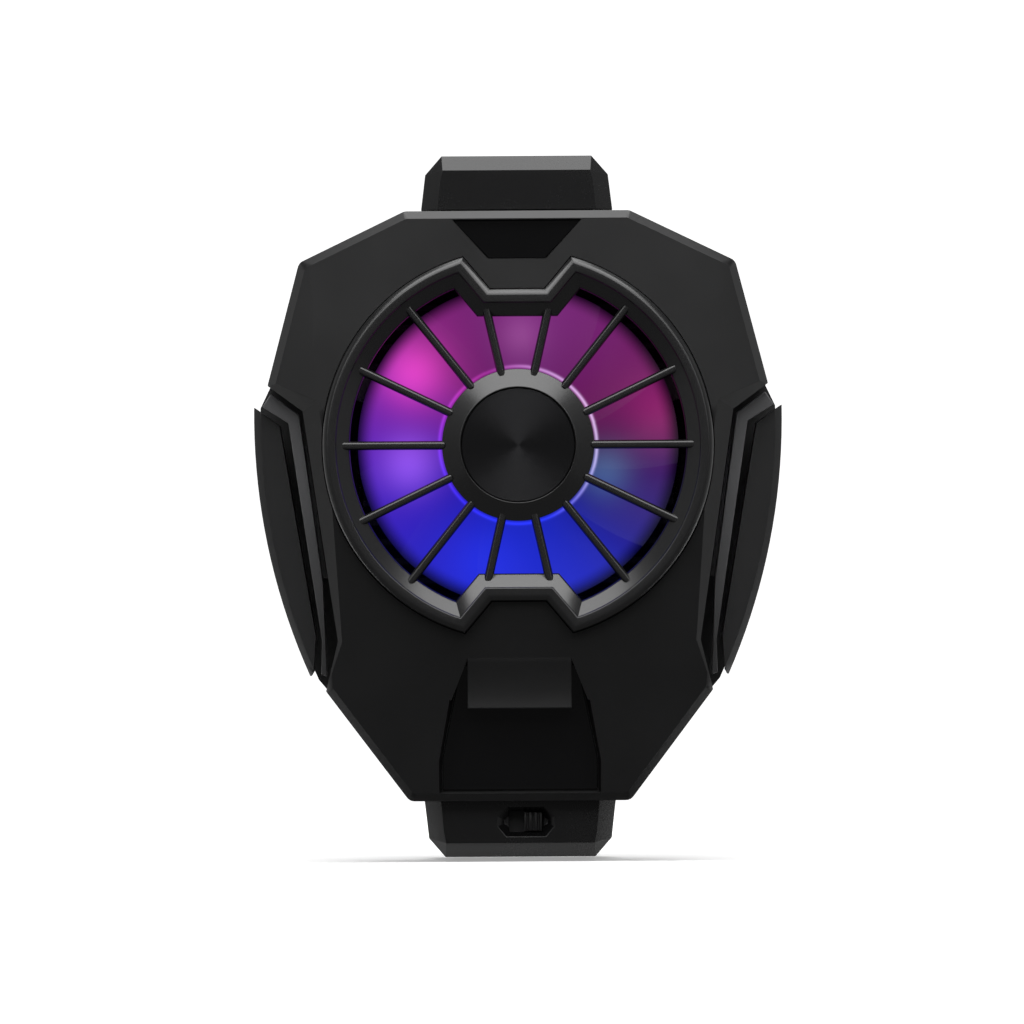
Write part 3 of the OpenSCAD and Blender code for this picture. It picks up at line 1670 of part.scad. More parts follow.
module slide_switch() {
  front = jaw_front_d - jaw_wall - fit;
  back = front - switch_body_t;
  color([0.6, 0.6, 0.62])
    upright()
      difference() {
        union() {
          translate([switch_u - switch_body_len / 2, switch_v - switch_body_h / 2, back])
            cube([switch_body_len, switch_body_h, switch_body_t]);
          for (i = [-1:1])
            translate([switch_u + i * switch_pitch - switch_pin_w / 2, switch_v - 0.4 * switch_pin_w,
                       board_d + board_t])
              cube([switch_pin_w, 0.8 * switch_pin_w, back - board_d - board_t + 0.2]);
        }
        knob_slot(front - 0.8);
      }
}

module switch_knob() {
  base = jaw_front_d - jaw_wall - fit - 0.7;
  top = jaw_front_d - 0.15;
  color([0.14, 0.14, 0.15])
    upright()
      translate([knob_rest_u - knob_len / 2, switch_v - knob_high / 2, base])
        difference() {
          cube([knob_len, knob_high, top - base]);
          for (i = [0:2])
            translate([knob_len * (0.2 + 0.3 * i) - 0.12, -1, top - base - 0.3])
              cube([0.24, knob_high + 2, 1]);
        }
}

module case_screws() {
  color([0.5, 0.5, 0.52])
    upright()
      for (p = case_spots)
        translate([p[0], p[1], back_set + 0.5])
          screw(case_head_r, case_screw_r - screw_clear - 0.02, parting_d + case_bite - back_set - 0.5);
}

module fan_screws() {
  color([0.5, 0.5, 0.52])
    upright()
      for (a = ear_angles)
        translate([ear_r * cos(a), ear_r * sin(a), fan_d - head_h])
          screw(small_head_r, small_screw_r - screw_clear - 0.02, head_h + fan_base_t + screw_bite);
}

module jaw_screws() {
  color([0.5, 0.5, 0.52])
    upright()
      for (s = [-1, 1])
        translate([s * jaw_screw_u, wall - bottom_v + head_h, jaw_screw_d])
          rotate([90, 0, 0])
            screw(small_head_r, small_screw_r - screw_clear - 0.02, head_h + wall + screw_bite);
}

front_cover();
fan_guard();
hub_cap();
top_inlay();
channel_inlay();
hood();
wing_left();
wing_right();
trim_left();
trim_right();
rear_cover();
lower_jaw();
lower_jaw_pad();
upper_jaw();
upper_jaw_pad();
spring_left();
spring_right();
arm_keeper();
arm_screw();
contact_pad();
cold_plate();
peltier_cold_face();
peltier_pellets();
peltier_hot_face();
foam_frame();
peltier_leads();
heat_sink();
clamp_screws();
fan_frame();
bearing();
stator_core();
stator_windings();
motor_board();
impeller();
rotor_yoke();
magnet_ring();
shaft();
shaft_clip();
lamp_board();
lamps();
main_board();
board_components();
board_screws();
usb_socket();
usb_tongue();
slide_switch();
switch_knob();
case_screws();
fan_screws();
jaw_screws();
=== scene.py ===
import math
from functools import cache

import bmesh
import bpy
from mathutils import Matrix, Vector


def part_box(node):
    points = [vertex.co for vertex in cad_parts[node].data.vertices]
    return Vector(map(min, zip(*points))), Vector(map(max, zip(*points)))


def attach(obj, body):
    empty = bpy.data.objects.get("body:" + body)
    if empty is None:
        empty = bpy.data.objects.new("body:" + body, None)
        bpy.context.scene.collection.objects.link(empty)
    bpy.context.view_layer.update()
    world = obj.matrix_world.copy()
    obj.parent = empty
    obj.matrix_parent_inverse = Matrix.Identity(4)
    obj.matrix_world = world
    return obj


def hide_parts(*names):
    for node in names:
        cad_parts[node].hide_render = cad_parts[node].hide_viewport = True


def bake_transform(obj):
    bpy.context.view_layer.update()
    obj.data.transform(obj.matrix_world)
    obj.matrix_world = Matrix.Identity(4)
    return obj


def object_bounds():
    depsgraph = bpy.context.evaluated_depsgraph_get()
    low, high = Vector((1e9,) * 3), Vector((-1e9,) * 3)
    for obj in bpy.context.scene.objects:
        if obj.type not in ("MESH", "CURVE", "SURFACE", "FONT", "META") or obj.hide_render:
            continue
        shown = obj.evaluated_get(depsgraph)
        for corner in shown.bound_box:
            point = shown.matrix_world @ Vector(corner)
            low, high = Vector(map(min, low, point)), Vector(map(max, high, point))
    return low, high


bl_info = {
    "name": "Phone Cooling Fan",
    "version": (1, 0, 0),
    "blender": (4, 5, 0),
    "location": "3D View > Sidebar > Cooler",
    "description": "Dresses the solids of a clip-on phone cooling fan and sets its studio",
    "category": "Object",
}

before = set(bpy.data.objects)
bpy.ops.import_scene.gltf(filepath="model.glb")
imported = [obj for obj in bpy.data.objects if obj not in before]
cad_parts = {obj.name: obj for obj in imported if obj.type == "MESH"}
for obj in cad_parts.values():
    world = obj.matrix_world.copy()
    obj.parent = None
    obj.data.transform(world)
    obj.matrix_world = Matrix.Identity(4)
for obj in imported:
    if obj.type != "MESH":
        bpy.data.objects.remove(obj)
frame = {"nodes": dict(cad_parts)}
SOLIDS = frame["nodes"]
CAD_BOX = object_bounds()

MM = 0.001
TURN = 2 * math.pi
SIDES = (("left", -1), ("right", 1))
BLACK = (0.0, 0.0, 0.0, 1.0)
WHITE = (1.0, 1.0, 1.0, 1.0)
# Vertices nearer than this are one vertex
MERGE = 0.002 * MM
# Faces that bend less than this are one flat
FLAT_ANGLE = math.radians(0.3)
# Edges that bend more than this are rounded
SHARP_ANGLE = math.radians(24)
# Edges that bend more than this stay sharp in the shading
SHADE_ANGLE = math.radians(38)
# The same for the wings, whose faces run into each other
WING_SHADE_ANGLE = math.radians(66)
# An eased corner takes no more than this share of a side
CORNER_SHARE = 0.45
# A corner that is moved lies within this of its spot
SPOT_REACH = 0.12 * MM


# Settings

def length(label, about, size):
    return bpy.props.FloatProperty(name=label, description=about, default=size, unit="LENGTH", precision=5)


def angle(label, about, degrees):
    return bpy.props.FloatProperty(name=label, description=about, unit="ROTATION",
                                   default=math.radians(degrees))


def amount(label, about, value):
    return bpy.props.FloatProperty(name=label, description=about, default=value)


def count(label, about, value):
    return bpy.props.IntProperty(name=label, description=about, default=value, min=1)


def colour(label, about, value):
    return bpy.props.FloatVectorProperty(name=label, description=about, default=value, size=3,
                                         subtype="COLOR", min=0.0, max=1.0)


class PlasticSettings(bpy.types.PropertyGroup):
    cover: colour("Cover", "Front cover", (0.0045, 0.0045, 0.0048))
    guard: colour("Guard", "Lip, spokes and hub of the guard", (0.0090, 0.0090, 0.0094))
    wing: colour("Wings", "Side wings", (0.012, 0.012, 0.0125))
    trim: colour("Trims", "Satin strips beside the wings", (0.075, 0.075, 0.078))
    rear: colour("Rear shell", "Rear cover", (0.0075, 0.0075, 0.0080))
    jaw: colour("Jaws", "Both jaws", (0.0045, 0.0045, 0.0048))
    inlay: colour("Inlays", "Gloss inlays in the pockets", (0.003, 0.003, 0.0033))
    frame: colour("Fan frame", "Fan frame behind the rotor", (0.012, 0.012, 0.013))
    rubber: colour("Grips", "Rubber on the jaws", (0.028, 0.028, 0.030))
    edge: length("Edge radius", "Radius of the moulded edges", 0.16 * MM)
    grain: amount("Grain", "Grains of the moulded surface in a metre", 5200.0)


class GuardSettings(bpy.types.PropertyGroup):
    throat: length("Throat", "Radius of the vent throat", 17.8 * MM)
    lug_height: length("Lug height", "Fan axis to the flat of each lug", 13.6 * MM)
    lug_half: length("Lug half width", "Half width of that flat", 4.25 * MM)
    lug_angle: angle("Lug angle", "Slope of the lug sides", 50)
    bevel: length("Bevel", "Width of the bevel between lip and throat", 1.5 * MM)
    crest: length("Crest", "Throat to the outer edge of the lip's flat top", 2.42 * MM)
    lip: length("Lip", "Throat to the outside of the lip", 2.9 * MM)
    rise: length("Rise", "Height of the lip above the cover", 0.8 * MM)
    ledge: length("Ledge", "Width of the ledge behind the cover", 1.0 * MM)
    seat: length("Seat", "Thickness of that ledge", 0.8 * MM)
    spokes: count("Spokes", "Number of spokes", 14)
    spoke_width: length("Spoke width", "Width of a spoke", 0.95 * MM)
    spoke_depth: length("Spoke depth", "Depth of a spoke", 1.4 * MM)
    spoke_reach: length("Spoke reach", "Fan axis to the end of the spokes", 19.0 * MM)
    spoke_over: length("Spoke overlap", "How far a spoke runs into the lug", 1.2 * MM)
    hub: length("Hub", "Radius of the hub ring", 8.05 * MM)
    hub_rise: length("Hub rise", "Height of the hub ring above the cover", 0.7 * MM)


class RotorSettings(bpy.types.PropertyGroup):
    blades: count("Blades", "Number of blades", 11)
    span: angle("Span", "Angle that each blade spans", 36)
    sweep: angle("Sweep", "Sweep of the blade tips", 14)
    thickness: length("Thickness", "Blade thickness", 0.8 * MM)
    depth: length("Depth", "Depth of the blades", 5.0 * MM)
    hub: length("Hub", "Hub radius", 7.9 * MM)
    tip: length("Tip", "Radius over the blades", 17.0 * MM)


# Colours of the light painted on the rotor: its glow, its spots and the line round the hub
class GlowSettings(bpy.types.PropertyGroup):
    pink: colour("Pink", "Light at the upper left", (0.30, 0.025, 0.25))
    mauve: colour("Mauve", "Light at the top", (0.22, 0.035, 0.23))
    plum: colour("Plum", "Light beside the top", (0.15, 0.012, 0.14))
    rose: colour("Rose", "Light at the upper right", (0.17, 0.012, 0.11))
    crimson: colour("Crimson", "Light at the right", (0.062, 0.014, 0.088))
    navy: colour("Navy", "Light at the lower right", (0.016, 0.016, 0.22))
    blue: colour("Blue", "Light at the bottom", (0.014, 0.024, 0.58))
    indigo: colour("Indigo", "Light at the lower left", (0.016, 0.014, 0.50))
    violet: colour("Violet", "Light at the left", (0.085, 0.014, 0.46))
    spot_pink: colour("Pink spot", "Bright spot at the upper left", (0.50, 0.035, 0.28))
    spot_lavender: colour("Lavender spot", "Bright spot at the left", (0.20, 0.07, 0.42))
    spot_teal: colour("Teal spot", "Spot by the hub at the lower right", (0.030, 0.10, 0.15))
    spot_crimson: colour("Crimson spot", "Spot by the rim at the right", (0.13, 0.004, 0.04))
    spot_mauve: colour("Mauve spot", "Spot at the top", (0.10, 0.035, 0.09))
    spot_blue: colour("Blue spot", "Spot at the bottom", (0.003, 0.010, 0.22))
    hub_line: colour("Hub line", "Thin line of light round the hub", (0.45, 0.42, 0.60))
    strength: amount("Strength", "Brightness of the lit rotor", 1.0)


class StageSettings(bpy.types.PropertyGroup):
    view_width: length("View width", "Width of the picture at the fan axis", 108.6 * MM)
    distance: length("Distance", "Camera to the fan axis", 2.0)
    aim: bpy.props.FloatVectorProperty(name="Aim", description="Point in the middle of the picture",
                                       default=(-0.69 * MM, -17 * MM, -7.1 * MM), size=3, unit="LENGTH")
    roll: angle("Roll", "Turn of the camera about its own axis", 0.35)
    top_light: amount("Top light", "Power of the softbox above, in watts", 1.72)
    brow_light: amount("Brow light", "Power of the wide softbox above the front, in watts", 2.75)
    front_light: amount("Front light", "Power of the softbox in front, in watts", 4.9)
    side_light: amount("Side lights", "Power of each side strip, in watts", 0.24)
    world: amount("World", "Strength of the surrounding light", 0.115)


class CoolerSettings(bpy.types.PropertyGroup):
    plastic: bpy.props.PointerProperty(type=PlasticSettings)
    guard: bpy.props.PointerProperty(type=GuardSettings)
    rotor: bpy.props.PointerProperty(type=RotorSettings)
    glow: bpy.props.PointerProperty(type=GlowSettings)
    stage: bpy.props.PointerProperty(type=StageSettings)


def settings():
    return bpy.context.scene.cooler


# Meshes

def ring(radius, depth, steps=96):
    """Circle about the fan axis, at a depth in front of the phone."""
    return [Vector((radius * math.cos(TURN * i / steps), -depth, radius * math.sin(TURN * i / steps)))
            for i in range(steps)]


def loft(loops, wrap=False):
    """Closed skin over loops of equal length; wrap joins the last loop to the first."""
    bm = bmesh.new()
    rows = [[bm.verts.new(p) for p in loop] for loop in loops]
    pairs = list(zip(rows, rows[1:])) + ([(rows[-1], rows[0])] if wrap else [])
    for a, b in pairs:
        for i in range(len(a)):
            j = (i + 1) % len(a)
            bm.faces.new((a[i], a[j], b[j], b[i]))
    if not wrap:
        bm.faces.new(rows[0])
        bm.faces.new(rows[-1])
    bmesh.ops.recalc_face_normals(bm, faces=bm.faces)
    return bm


def eased(points, radius, closed=False, steps=3):
    """Outline with each corner replaced by a short curve."""
    made = []
    total = len(points)
    for i, p in enumerate(points):
        if not closed and i in (0, total - 1):
            made.append(Vector(p))
            continue
        p, before, after = Vector(p), Vector(points[i - 1]), Vector(points[(i + 1) % total])
        cut = min(radius, (before - p).length * CORNER_SHARE, (after - p).length * CORNER_SHARE)
        a = p + (before - p).normalized() * cut
        b = p + (after - p).normalized() * cut
        for k in range(steps + 1):
            t = k / steps
            made.append(a * (1 - t) ** 2 + p * 2 * t * (1 - t) + b * t ** 2)
    return made


def lathe(profile, steps, wrap=False):
    """Body of revolution about the fan axis through points of radius and depth."""
    return loft([ring(r, d, steps) for r, d in profile], wrap)


def copy_of(node):
    """Solid's mesh with its doubles merged and its flats joined."""
    bm = bmesh.new()
    bm.from_mesh(SOLIDS[node].data)
    bmesh.ops.remove_doubles(bm, verts=bm.verts, dist=MERGE)
    bmesh.ops.dissolve_limit(bm, angle_limit=FLAT_ANGLE, verts=bm.verts, edges=bm.edges)
    return bm


def round_edges(bm, radius, segments=2):
    """Rounds the sharp edges and marks the new faces, where a surface wears first."""
    worn = bm.loops.layers.float.new("worn")
    sharp = [e for e in bm.edges if len(e.link_faces) == 2 and e.calc_face_angle(0.0) > SHARP_ANGLE]
    made = bmesh.ops.bevel(bm, geom=sharp, offset=radius, offset_type="OFFSET", segments=segments,
                           profile=0.5, affect="EDGES", clamp_overlap=True)
    for face in made["faces"]:
        for corner in face.loops:
            corner[worn] = 1.0
    return bm


def nudged(bm, spots):
    """Moves the vertices that lie near each spot of the front view by that spot's step."""
    for u, v, across, up in spots:
        for vert in bm.verts:
            if math.hypot(vert.co.x - u, vert.co.z - v) < SPOT_REACH:
                vert.co += Vector((across, 0.0, up))
    return bm


def mesh_of(name, bm):
    mesh = bpy.data.meshes.new(name)
    bm.to_mesh(mesh)
    bm.free()
    return mesh


def linked(name, mesh):
    obj = bpy.data.objects.new(name, mesh)
    bpy.context.scene.collection.objects.link(obj)
    return obj


def plain(obj):
    """Turns an object's evaluated shape into a plain mesh without modifiers."""
    graph = bpy.context.evaluated_depsgraph_get()
    mesh = bpy.data.meshes.new_from_object(obj.evaluated_get(graph), preserve_all_data_layers=True,
                                           depsgraph=graph)
    obj.modifiers.clear()
    obj.data = mesh
    return obj


def smooth(mesh):
    mesh.polygons.foreach_set("use_smooth", [True] * len(mesh.polygons))


def shaded(obj, shade=SHADE_ANGLE):
    """Smooth shading that keeps wide faces flat; edges that bend more than shade stay sharp."""
    smooth(obj.data)
    obj.data.set_sharp_from_angle(angle=shade)
    weighted = obj.modifiers.new("Flat faces", "WEIGHTED_NORMAL")
    weighted.keep_sharp = True
    return plain(obj)


def piece(name, bm, material, shade=SHADE_ANGLE):
    """Object with smooth shading and one finish."""
    mesh = mesh_of(name, bm)
    mesh.materials.append(material)
    return shaded(linked(name, mesh), shade)


def settle(obj, body, slot, *nodes):
    """Ties a piece to its body and hides the solids that it stands for."""
    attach(obj, body)
    if nodes:
        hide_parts(*nodes)


def dressed(node, name, body, slot, material, radius, segments=2, spots=(), shade=SHADE_ANGLE):
    """Solid with rounded edges and a finish."""
    bm = round_edges(nudged(copy_of(node), spots), radius, segments)
    settle(piece(name, bm, material, shade), body, slot, node)


# Nodes

FLOAT, INT, VECTOR = "NodeSocketFloat", "NodeSocketInt", "NodeSocketVector"
COLOUR, MATERIAL = "NodeSocketColor", "NodeSocketMaterial"
OBJECT, GEOMETRY = "NodeSocketObject", "NodeSocketGeometry"


def fill(tree, socket, value):
    """Links another node's socket, or sets a plain value."""
    if isinstance(value, bpy.types.NodeSocket):
        tree.links.new(value, socket)
    else:
        socket.default_value = value


def node_of(tree, kind, inputs=(), **attributes):
    """New node with its attributes set, and its inputs filled by name or number."""
    made = tree.nodes.new(kind)
    for key, value in attributes.items():
        setattr(made, key, value)
    for key, value in dict(inputs).items():
        fill(tree, made.inputs[key], value)
    return made


def math_of(tree, operation, *values):
    """Math node on sockets and plain numbers."""
    return node_of(tree, "ShaderNodeMath", dict(enumerate(values)), operation=operation).outputs[0]


def split(tree, vector):
    """Parts of a vector along the three axes."""
    return node_of(tree, "ShaderNodeSeparateXYZ", {0: vector}).outputs


def vector_of(tree, **parts):
    return node_of(tree, "ShaderNodeCombineXYZ", parts).outputs[0]


def square_of(tree, across, up):
    """Square of the distance from the axis of the front view."""
    return math_of(tree, "ADD", math_of(tree, "POWER", across, 2.0), math_of(tree, "POWER", up, 2.0))


def faded(tree, value):
    """Soft fade from one down to nothing as the value grows."""
    return math_of(tree, "EXPONENT", math_of(tree, "MULTIPLY", value, -1.0))


def ranged(tree, value, start, end, low=0.0, high=1.0, **attributes):
    """Value moved from one range to another."""
    made = node_of(tree, "ShaderNodeMapRange", {
        "Value": value, "From Min": start, "From Max": end, "To Min": low, "To Max": high}, **attributes)
    return made.outputs[0]


def tree_of(kind, name, given, put_out):
    """Empty node tree; gives the tree, what comes in and what is put out."""
    tree = bpy.data.node_groups.new(name, kind)
    for label, socket, *value in given:
        made = tree.interface.new_socket(label, in_out="INPUT", socket_type=socket)
        if value:
            made.default_value = value[0]
    for label, socket in put_out:
        tree.interface.new_socket(label, in_out="OUTPUT", socket_type=socket)
    return tree, node_of(tree, "NodeGroupInput").outputs, node_of(tree, "NodeGroupOutput").inputs


# Geometry node trees

def geometry_tree(name, *given):
    """Empty geometry tree; a mesh comes in first and a finish last."""
    return tree_of("GeometryNodeTree", name, [("Geometry", GEOMETRY), *given, ("Finish", MATERIAL)],
                   [("Geometry", GEOMETRY)])


def close_tree(tree, geometry, given, out):
    """Ends a tree in real geometry with its finish."""
    real = node_of(tree, "GeometryNodeRealizeInstances", {"Geometry": geometry})
    painted = node_of(tree, "GeometryNodeSetMaterial", {
        "Geometry": real.outputs["Geometry"], "Material": given["Finish"]})
    fill(tree, out["Geometry"], painted.outputs["Geometry"])
    return tree


@cache
def ring_tree():
    """Copies turned about the fan axis, each stretched along its own length."""
    tree, given, out = geometry_tree("Ring of copies", ("Count", INT, 12), ("First Angle", FLOAT, 0.0),
                                     ("Reach", FLOAT, 1.0), ("Flat", FLOAT, 1.0))
    least = 0.001
    index = node_of(tree, "GeometryNodeInputIndex").outputs[0]
    step = math_of(tree, "DIVIDE", TURN, given["Count"])
    bearing = math_of(tree, "ADD", math_of(tree, "MULTIPLY", index, step), given["First Angle"])
    steep = math_of(tree, "MAXIMUM", math_of(tree, "ABSOLUTE", math_of(tree, "SINE", bearing)), least)
    reach = math_of(tree, "MINIMUM", given["Reach"], math_of(tree, "DIVIDE", given["Flat"], steep))
    points = node_of(tree, "GeometryNodePoints", {"Count": given["Count"]})
    turn = node_of(tree, "FunctionNodeEulerToRotation", {0: vector_of(tree, Y=bearing)})
    copies = node_of(tree, "GeometryNodeInstanceOnPoints", {
        "Points": points.outputs[0], "Instance": given["Geometry"], "Rotation": turn.outputs[0],
        "Scale": vector_of(tree, X=reach, Y=1.0, Z=1.0)})
    return close_tree(tree, copies.outputs[0], given, out)


@cache
def marks_tree():
    """One copy of an object's mesh at every marked point."""
    tree, given, out = geometry_tree("Copies at marks", ("Copy", OBJECT))
    source = node_of(tree, "GeometryNodeObjectInfo", {"Object": given["Copy"]})
    copies = node_of(tree, "GeometryNodeInstanceOnPoints", {
        "Points": given["Geometry"], "Instance": source.outputs["Geometry"]})
    return close_tree(tree, copies.outputs[0], given, out)


@cache
def spring_tree():
    """Wire coil along the height, with a loop at each end."""
    tree, given, out = geometry_tree(
        "Spring wire", ("Radius", FLOAT, 1.0), ("Wire", FLOAT, 0.2), ("Length", FLOAT, 10.0),
        ("Turns", FLOAT, 20.0), ("Loop", FLOAT, 1.0), ("Place", VECTOR))
    steps_in_turn, steps_in_loop, steps_in_wire = 20, 28, 10
    coil = node_of(tree, "GeometryNodeCurveSpiral", {
        "Resolution": steps_in_turn, "Rotations": given["Turns"], "Start Radius": given["Radius"],
        "End Radius": given["Radius"], "Height": given["Length"]})
    joined = node_of(tree, "GeometryNodeJoinGeometry", {0: coil.outputs[0]})
    below = math_of(tree, "MULTIPLY", given["Loop"], -1.0)
    above = math_of(tree, "ADD", given["Length"], given["Loop"])
    for height in (below, above):
        loop = node_of(tree, "GeometryNodeCurvePrimitiveCircle", {
            "Resolution": steps_in_loop, "Radius": given["Loop"]})
        stood = node_of(tree, "GeometryNodeTransform", {
            "Geometry": loop.outputs[0], "Rotation": (math.pi / 2, 0, 0),
            "Translation": vector_of(tree, Z=height)})
        fill(tree, joined.inputs[0], stood.outputs[0])
    section = node_of(tree, "GeometryNodeCurvePrimitiveCircle", {
        "Resolution": steps_in_wire, "Radius": given["Wire"]})
    wire = node_of(tree, "GeometryNodeCurveToMesh", {
        "Curve": joined.outputs[0], "Profile Curve": section.outputs[0], "Fill Caps": True})
    moved = node_of(tree, "GeometryNodeTransform", {
        "Geometry": wire.outputs[0], "Translation": given["Place"]})
    return close_tree(tree, moved.outputs[0], given, out)


def grown(name, mesh, tree, inputs):
    """Piece that a geometry tree makes from a mesh, as a plain mesh."""
    obj = linked(name, mesh)
    modifier = obj.modifiers.new("Grow", "NODES")
    modifier.node_group = tree
    for item in tree.interface.items_tree:
        if item.in_out == "INPUT" and item.name in inputs:
            modifier[item.identifier] = inputs[item.name]
    obj.update_tag()
    return plain(obj)


def copied(name, bm, spots, material):
    """Piece made of one copy of a mesh at every spot."""
    pattern = linked(f"{name}_pattern", mesh_of(f"{name}_pattern", bm))
    marks = bpy.data.meshes.new(f"{name}_marks")
    marks.from_pydata(spots, [], [])
    made = grown(name, marks, marks_tree(), {"Copy": pattern, "Finish": material})
    bpy.data.objects.remove(pattern)
    return shaded(made)


# Shader groups

SURFACE = [("Roughness", FLOAT), ("Height", FLOAT), ("Mottle", FLOAT)]


def shader_group(name, given, put_out):
    """Empty shader group; a vector comes in first."""
    return tree_of("ShaderNodeTree", name, [("Vector", VECTOR), *given], put_out)


def noise_of(tree, vector, scale, detail, rough):
    return node_of(tree, "ShaderNodeTexNoise", {
        "Vector": vector, "Scale": scale, "Detail": detail, "Roughness": rough}).outputs[0]


def swing(tree, noise, spread):
    """Noise about zero, as wide as the spread."""
    return math_of(tree, "MULTIPLY", math_of(tree, "SUBTRACT", noise, 0.5), spread)


def shared(tree, first, second, share):
    """Sum of two values, the first by its share and the second by the rest."""
    part, rest = math_of(tree, "MULTIPLY", first, share), math_of(tree, "MULTIPLY", second, 1.0 - share)
    return math_of(tree, "ADD", part, rest)


def mixed(tree, factor, first, second, kind="MIX"):
    """Colour from two colours, by a blend mode."""
    made = node_of(tree, "ShaderNodeMix", {0: factor, 6: first, 7: second},
                   data_type="RGBA", blend_type=kind)
    return made.outputs[2]


@cache
def moulded_grain():
    """Fine texture of a moulded surface, with slow changes of gloss."""
    tree, given, out = shader_group("Moulded grain", [
        ("Grain", FLOAT, 5000.0), ("Roughness", FLOAT, 0.4), ("Spread", FLOAT, 0.1)], SURFACE)
    fine = noise_of(tree, given["Vector"], given["Grain"], detail=3.0, rough=0.6)
    slow = noise_of(tree, given["Vector"], scale=95.0, detail=3.0, rough=0.55)
    shift = swing(tree, slow, given["Spread"])
    speck = swing(tree, fine, math_of(tree, "MULTIPLY", given["Spread"], 0.6))
    fill(tree, out["Roughness"], math_of(tree, "ADD", given["Roughness"], math_of(tree, "ADD", shift, speck)))
    fill(tree, out["Height"], fine)
    fill(tree, out["Mottle"], shared(tree, slow, fine, share=0.6))
    return tree


@cache
def brushed_grain():
    """Drawn lines of a brushed metal; the vector's scale sets their direction."""
    tree, given, out = shader_group("Brushed grain", [
        ("Lines", FLOAT, 3000.0), ("Roughness", FLOAT, 0.3), ("Spread", FLOAT, 0.15)], SURFACE)
    lines = noise_of(tree, given["Vector"], given["Lines"], detail=4.0, rough=0.7)
    slow = noise_of(tree, given["Vector"], scale=60.0, detail=2.0, rough=0.5)
    shift = swing(tree, lines, given["Spread"])
    fill(tree, out["Roughness"], math_of(tree, "ADD", given["Roughness"], shift))
    fill(tree, out["Height"], lines)
    fill(tree, out["Mottle"], shared(tree, lines, slow, share=0.7))
    return tree


@cache
def edge_wear():
    """Broken mask along the rounded edges."""
    tree, given, out = shader_group("Edge wear", [("Amount", FLOAT, 0.5)], [("Mask", FLOAT)])
    edges = node_of(tree, "ShaderNodeAttribute", attribute_name="worn")
    chips = noise_of(tree, given["Vector"], scale=900.0, detail=4.0, rough=0.65)
    mask = math_of(tree, "MULTIPLY", edges.outputs["Fac"], ranged(tree, chips, start=0.38, end=0.68))
    fill(tree, out["Mask"], math_of(tree, "MULTIPLY", mask, given["Amount"]))
    return tree


@cache
def painted_light_spot():
    """Soft round spot of painted coloured light about a place in the front view."""
    tree, given, out = shader_group("Painted light spot", [
        ("Place", VECTOR), ("Size", FLOAT, 0.003), ("Colour", COLOUR)], [("Colour", COLOUR)])
    away = node_of(tree, "ShaderNodeVectorMath", {0: given["Vector"], 1: given["Place"]},
                   operation="SUBTRACT")
    parts = split(tree, away.outputs[0])
    across, up = [math_of(tree, "DIVIDE", parts[axis], given["Size"]) for axis in "XZ"]
    mask = faded(tree, square_of(tree, across, up))
    fill(tree, out["Colour"], mixed(tree, mask, BLACK, given["Colour"]))
    return tree


def group_in(tree, group, vector, **values):
    """Shared effect placed in a material with its own values."""
    return node_of(tree, "ShaderNodeGroup", {"Vector": vector, **values}, node_tree=group).outputs


# Finishes

def blank_material(name):
    material = bpy.data.materials.new(name)
    material.use_nodes = True
    material.node_tree.nodes.clear()
    return material, material.node_tree


def new_material(name, **values):
    """Material with one shader, whose plain values are set; also gives its tree, shader and coordinates."""
    material, tree = blank_material(name)
    inputs = {key.replace("_", " "): value for key, value in values.items()}
    shader = node_of(tree, "ShaderNodeBsdfPrincipled", inputs)
    node_of(tree, "ShaderNodeOutputMaterial", {"Surface": shader.outputs[0]})
    return material, tree, shader, node_of(tree, "ShaderNodeTexCoord").outputs["Object"]


def rgba(value, gain=1.0):
    return tuple(min(1.0, v * gain) for v in value) + (1.0,)


def mottled(tree, surface, base, dark, pale):
    """Base colour between a darker and a paler shade of it."""
    return mixed(tree, surface["Mottle"], rgba(base, dark), rgba(base, pale))


def coated(tree, shader, tint, roughness, height, depth):
    """Joins a finish's colour, roughness and relief to its shader."""
    fill(tree, shader.inputs["Base Color"], tint)
    fill(tree, shader.inputs["Roughness"], roughness)
    bump = node_of(tree, "ShaderNodeBump", {"Strength": 1.0, "Distance": depth, "Height": height})
    fill(tree, shader.inputs["Normal"], bump.outputs[0])


def ramp_of(tree, factor, interpolation, stops):
    """Colour ramp through its stops."""
    made = node_of(tree, "ShaderNodeValToRGB", {"Fac": factor})
    made.color_ramp.interpolation = interpolation
    ramp = made.color_ramp.elements
    while len(ramp) < len(stops):
        ramp.new(0.5)
    for stop, (place, tint) in zip(ramp, stops):
        stop.position, stop.color = place, rgba(tint)
    return made.outputs[0]


def plastic(name, base, roughness, wear=0.5, grain=None, depth=0.0015 * MM, specular=0.5, spread=0.12,
            fade=None):
    """Moulded plastic with grain, slow gloss changes and paler worn edges; fade paints shade on it, darker
    downwards.
    """
    material, tree, shader, vector = new_material(name, Specular_IOR_Level=specular)
    surface = group_in(tree, moulded_grain(), vector, Grain=grain or settings().plastic.grain,
                       Roughness=roughness, Spread=spread)
    worn = group_in(tree, edge_wear(), vector, Amount=wear)["Mask"]
    tint = mottled(tree, surface, base, dark=0.78, pale=1.22)
    tint = mixed(tree, worn, tint, rgba(base, gain=2.6))
    # Painted shade: the colour darkens from the top down to the foot
    if fade:
        foot, top, least = fade
        share = ranged(tree, split(tree, vector)["Z"], foot, top, least, 1.0)
        tint = mixed(tree, 1.0, tint, share, "MULTIPLY")
    coated(tree, shader, tint, surface["Roughness"], surface["Height"], depth)
    return material


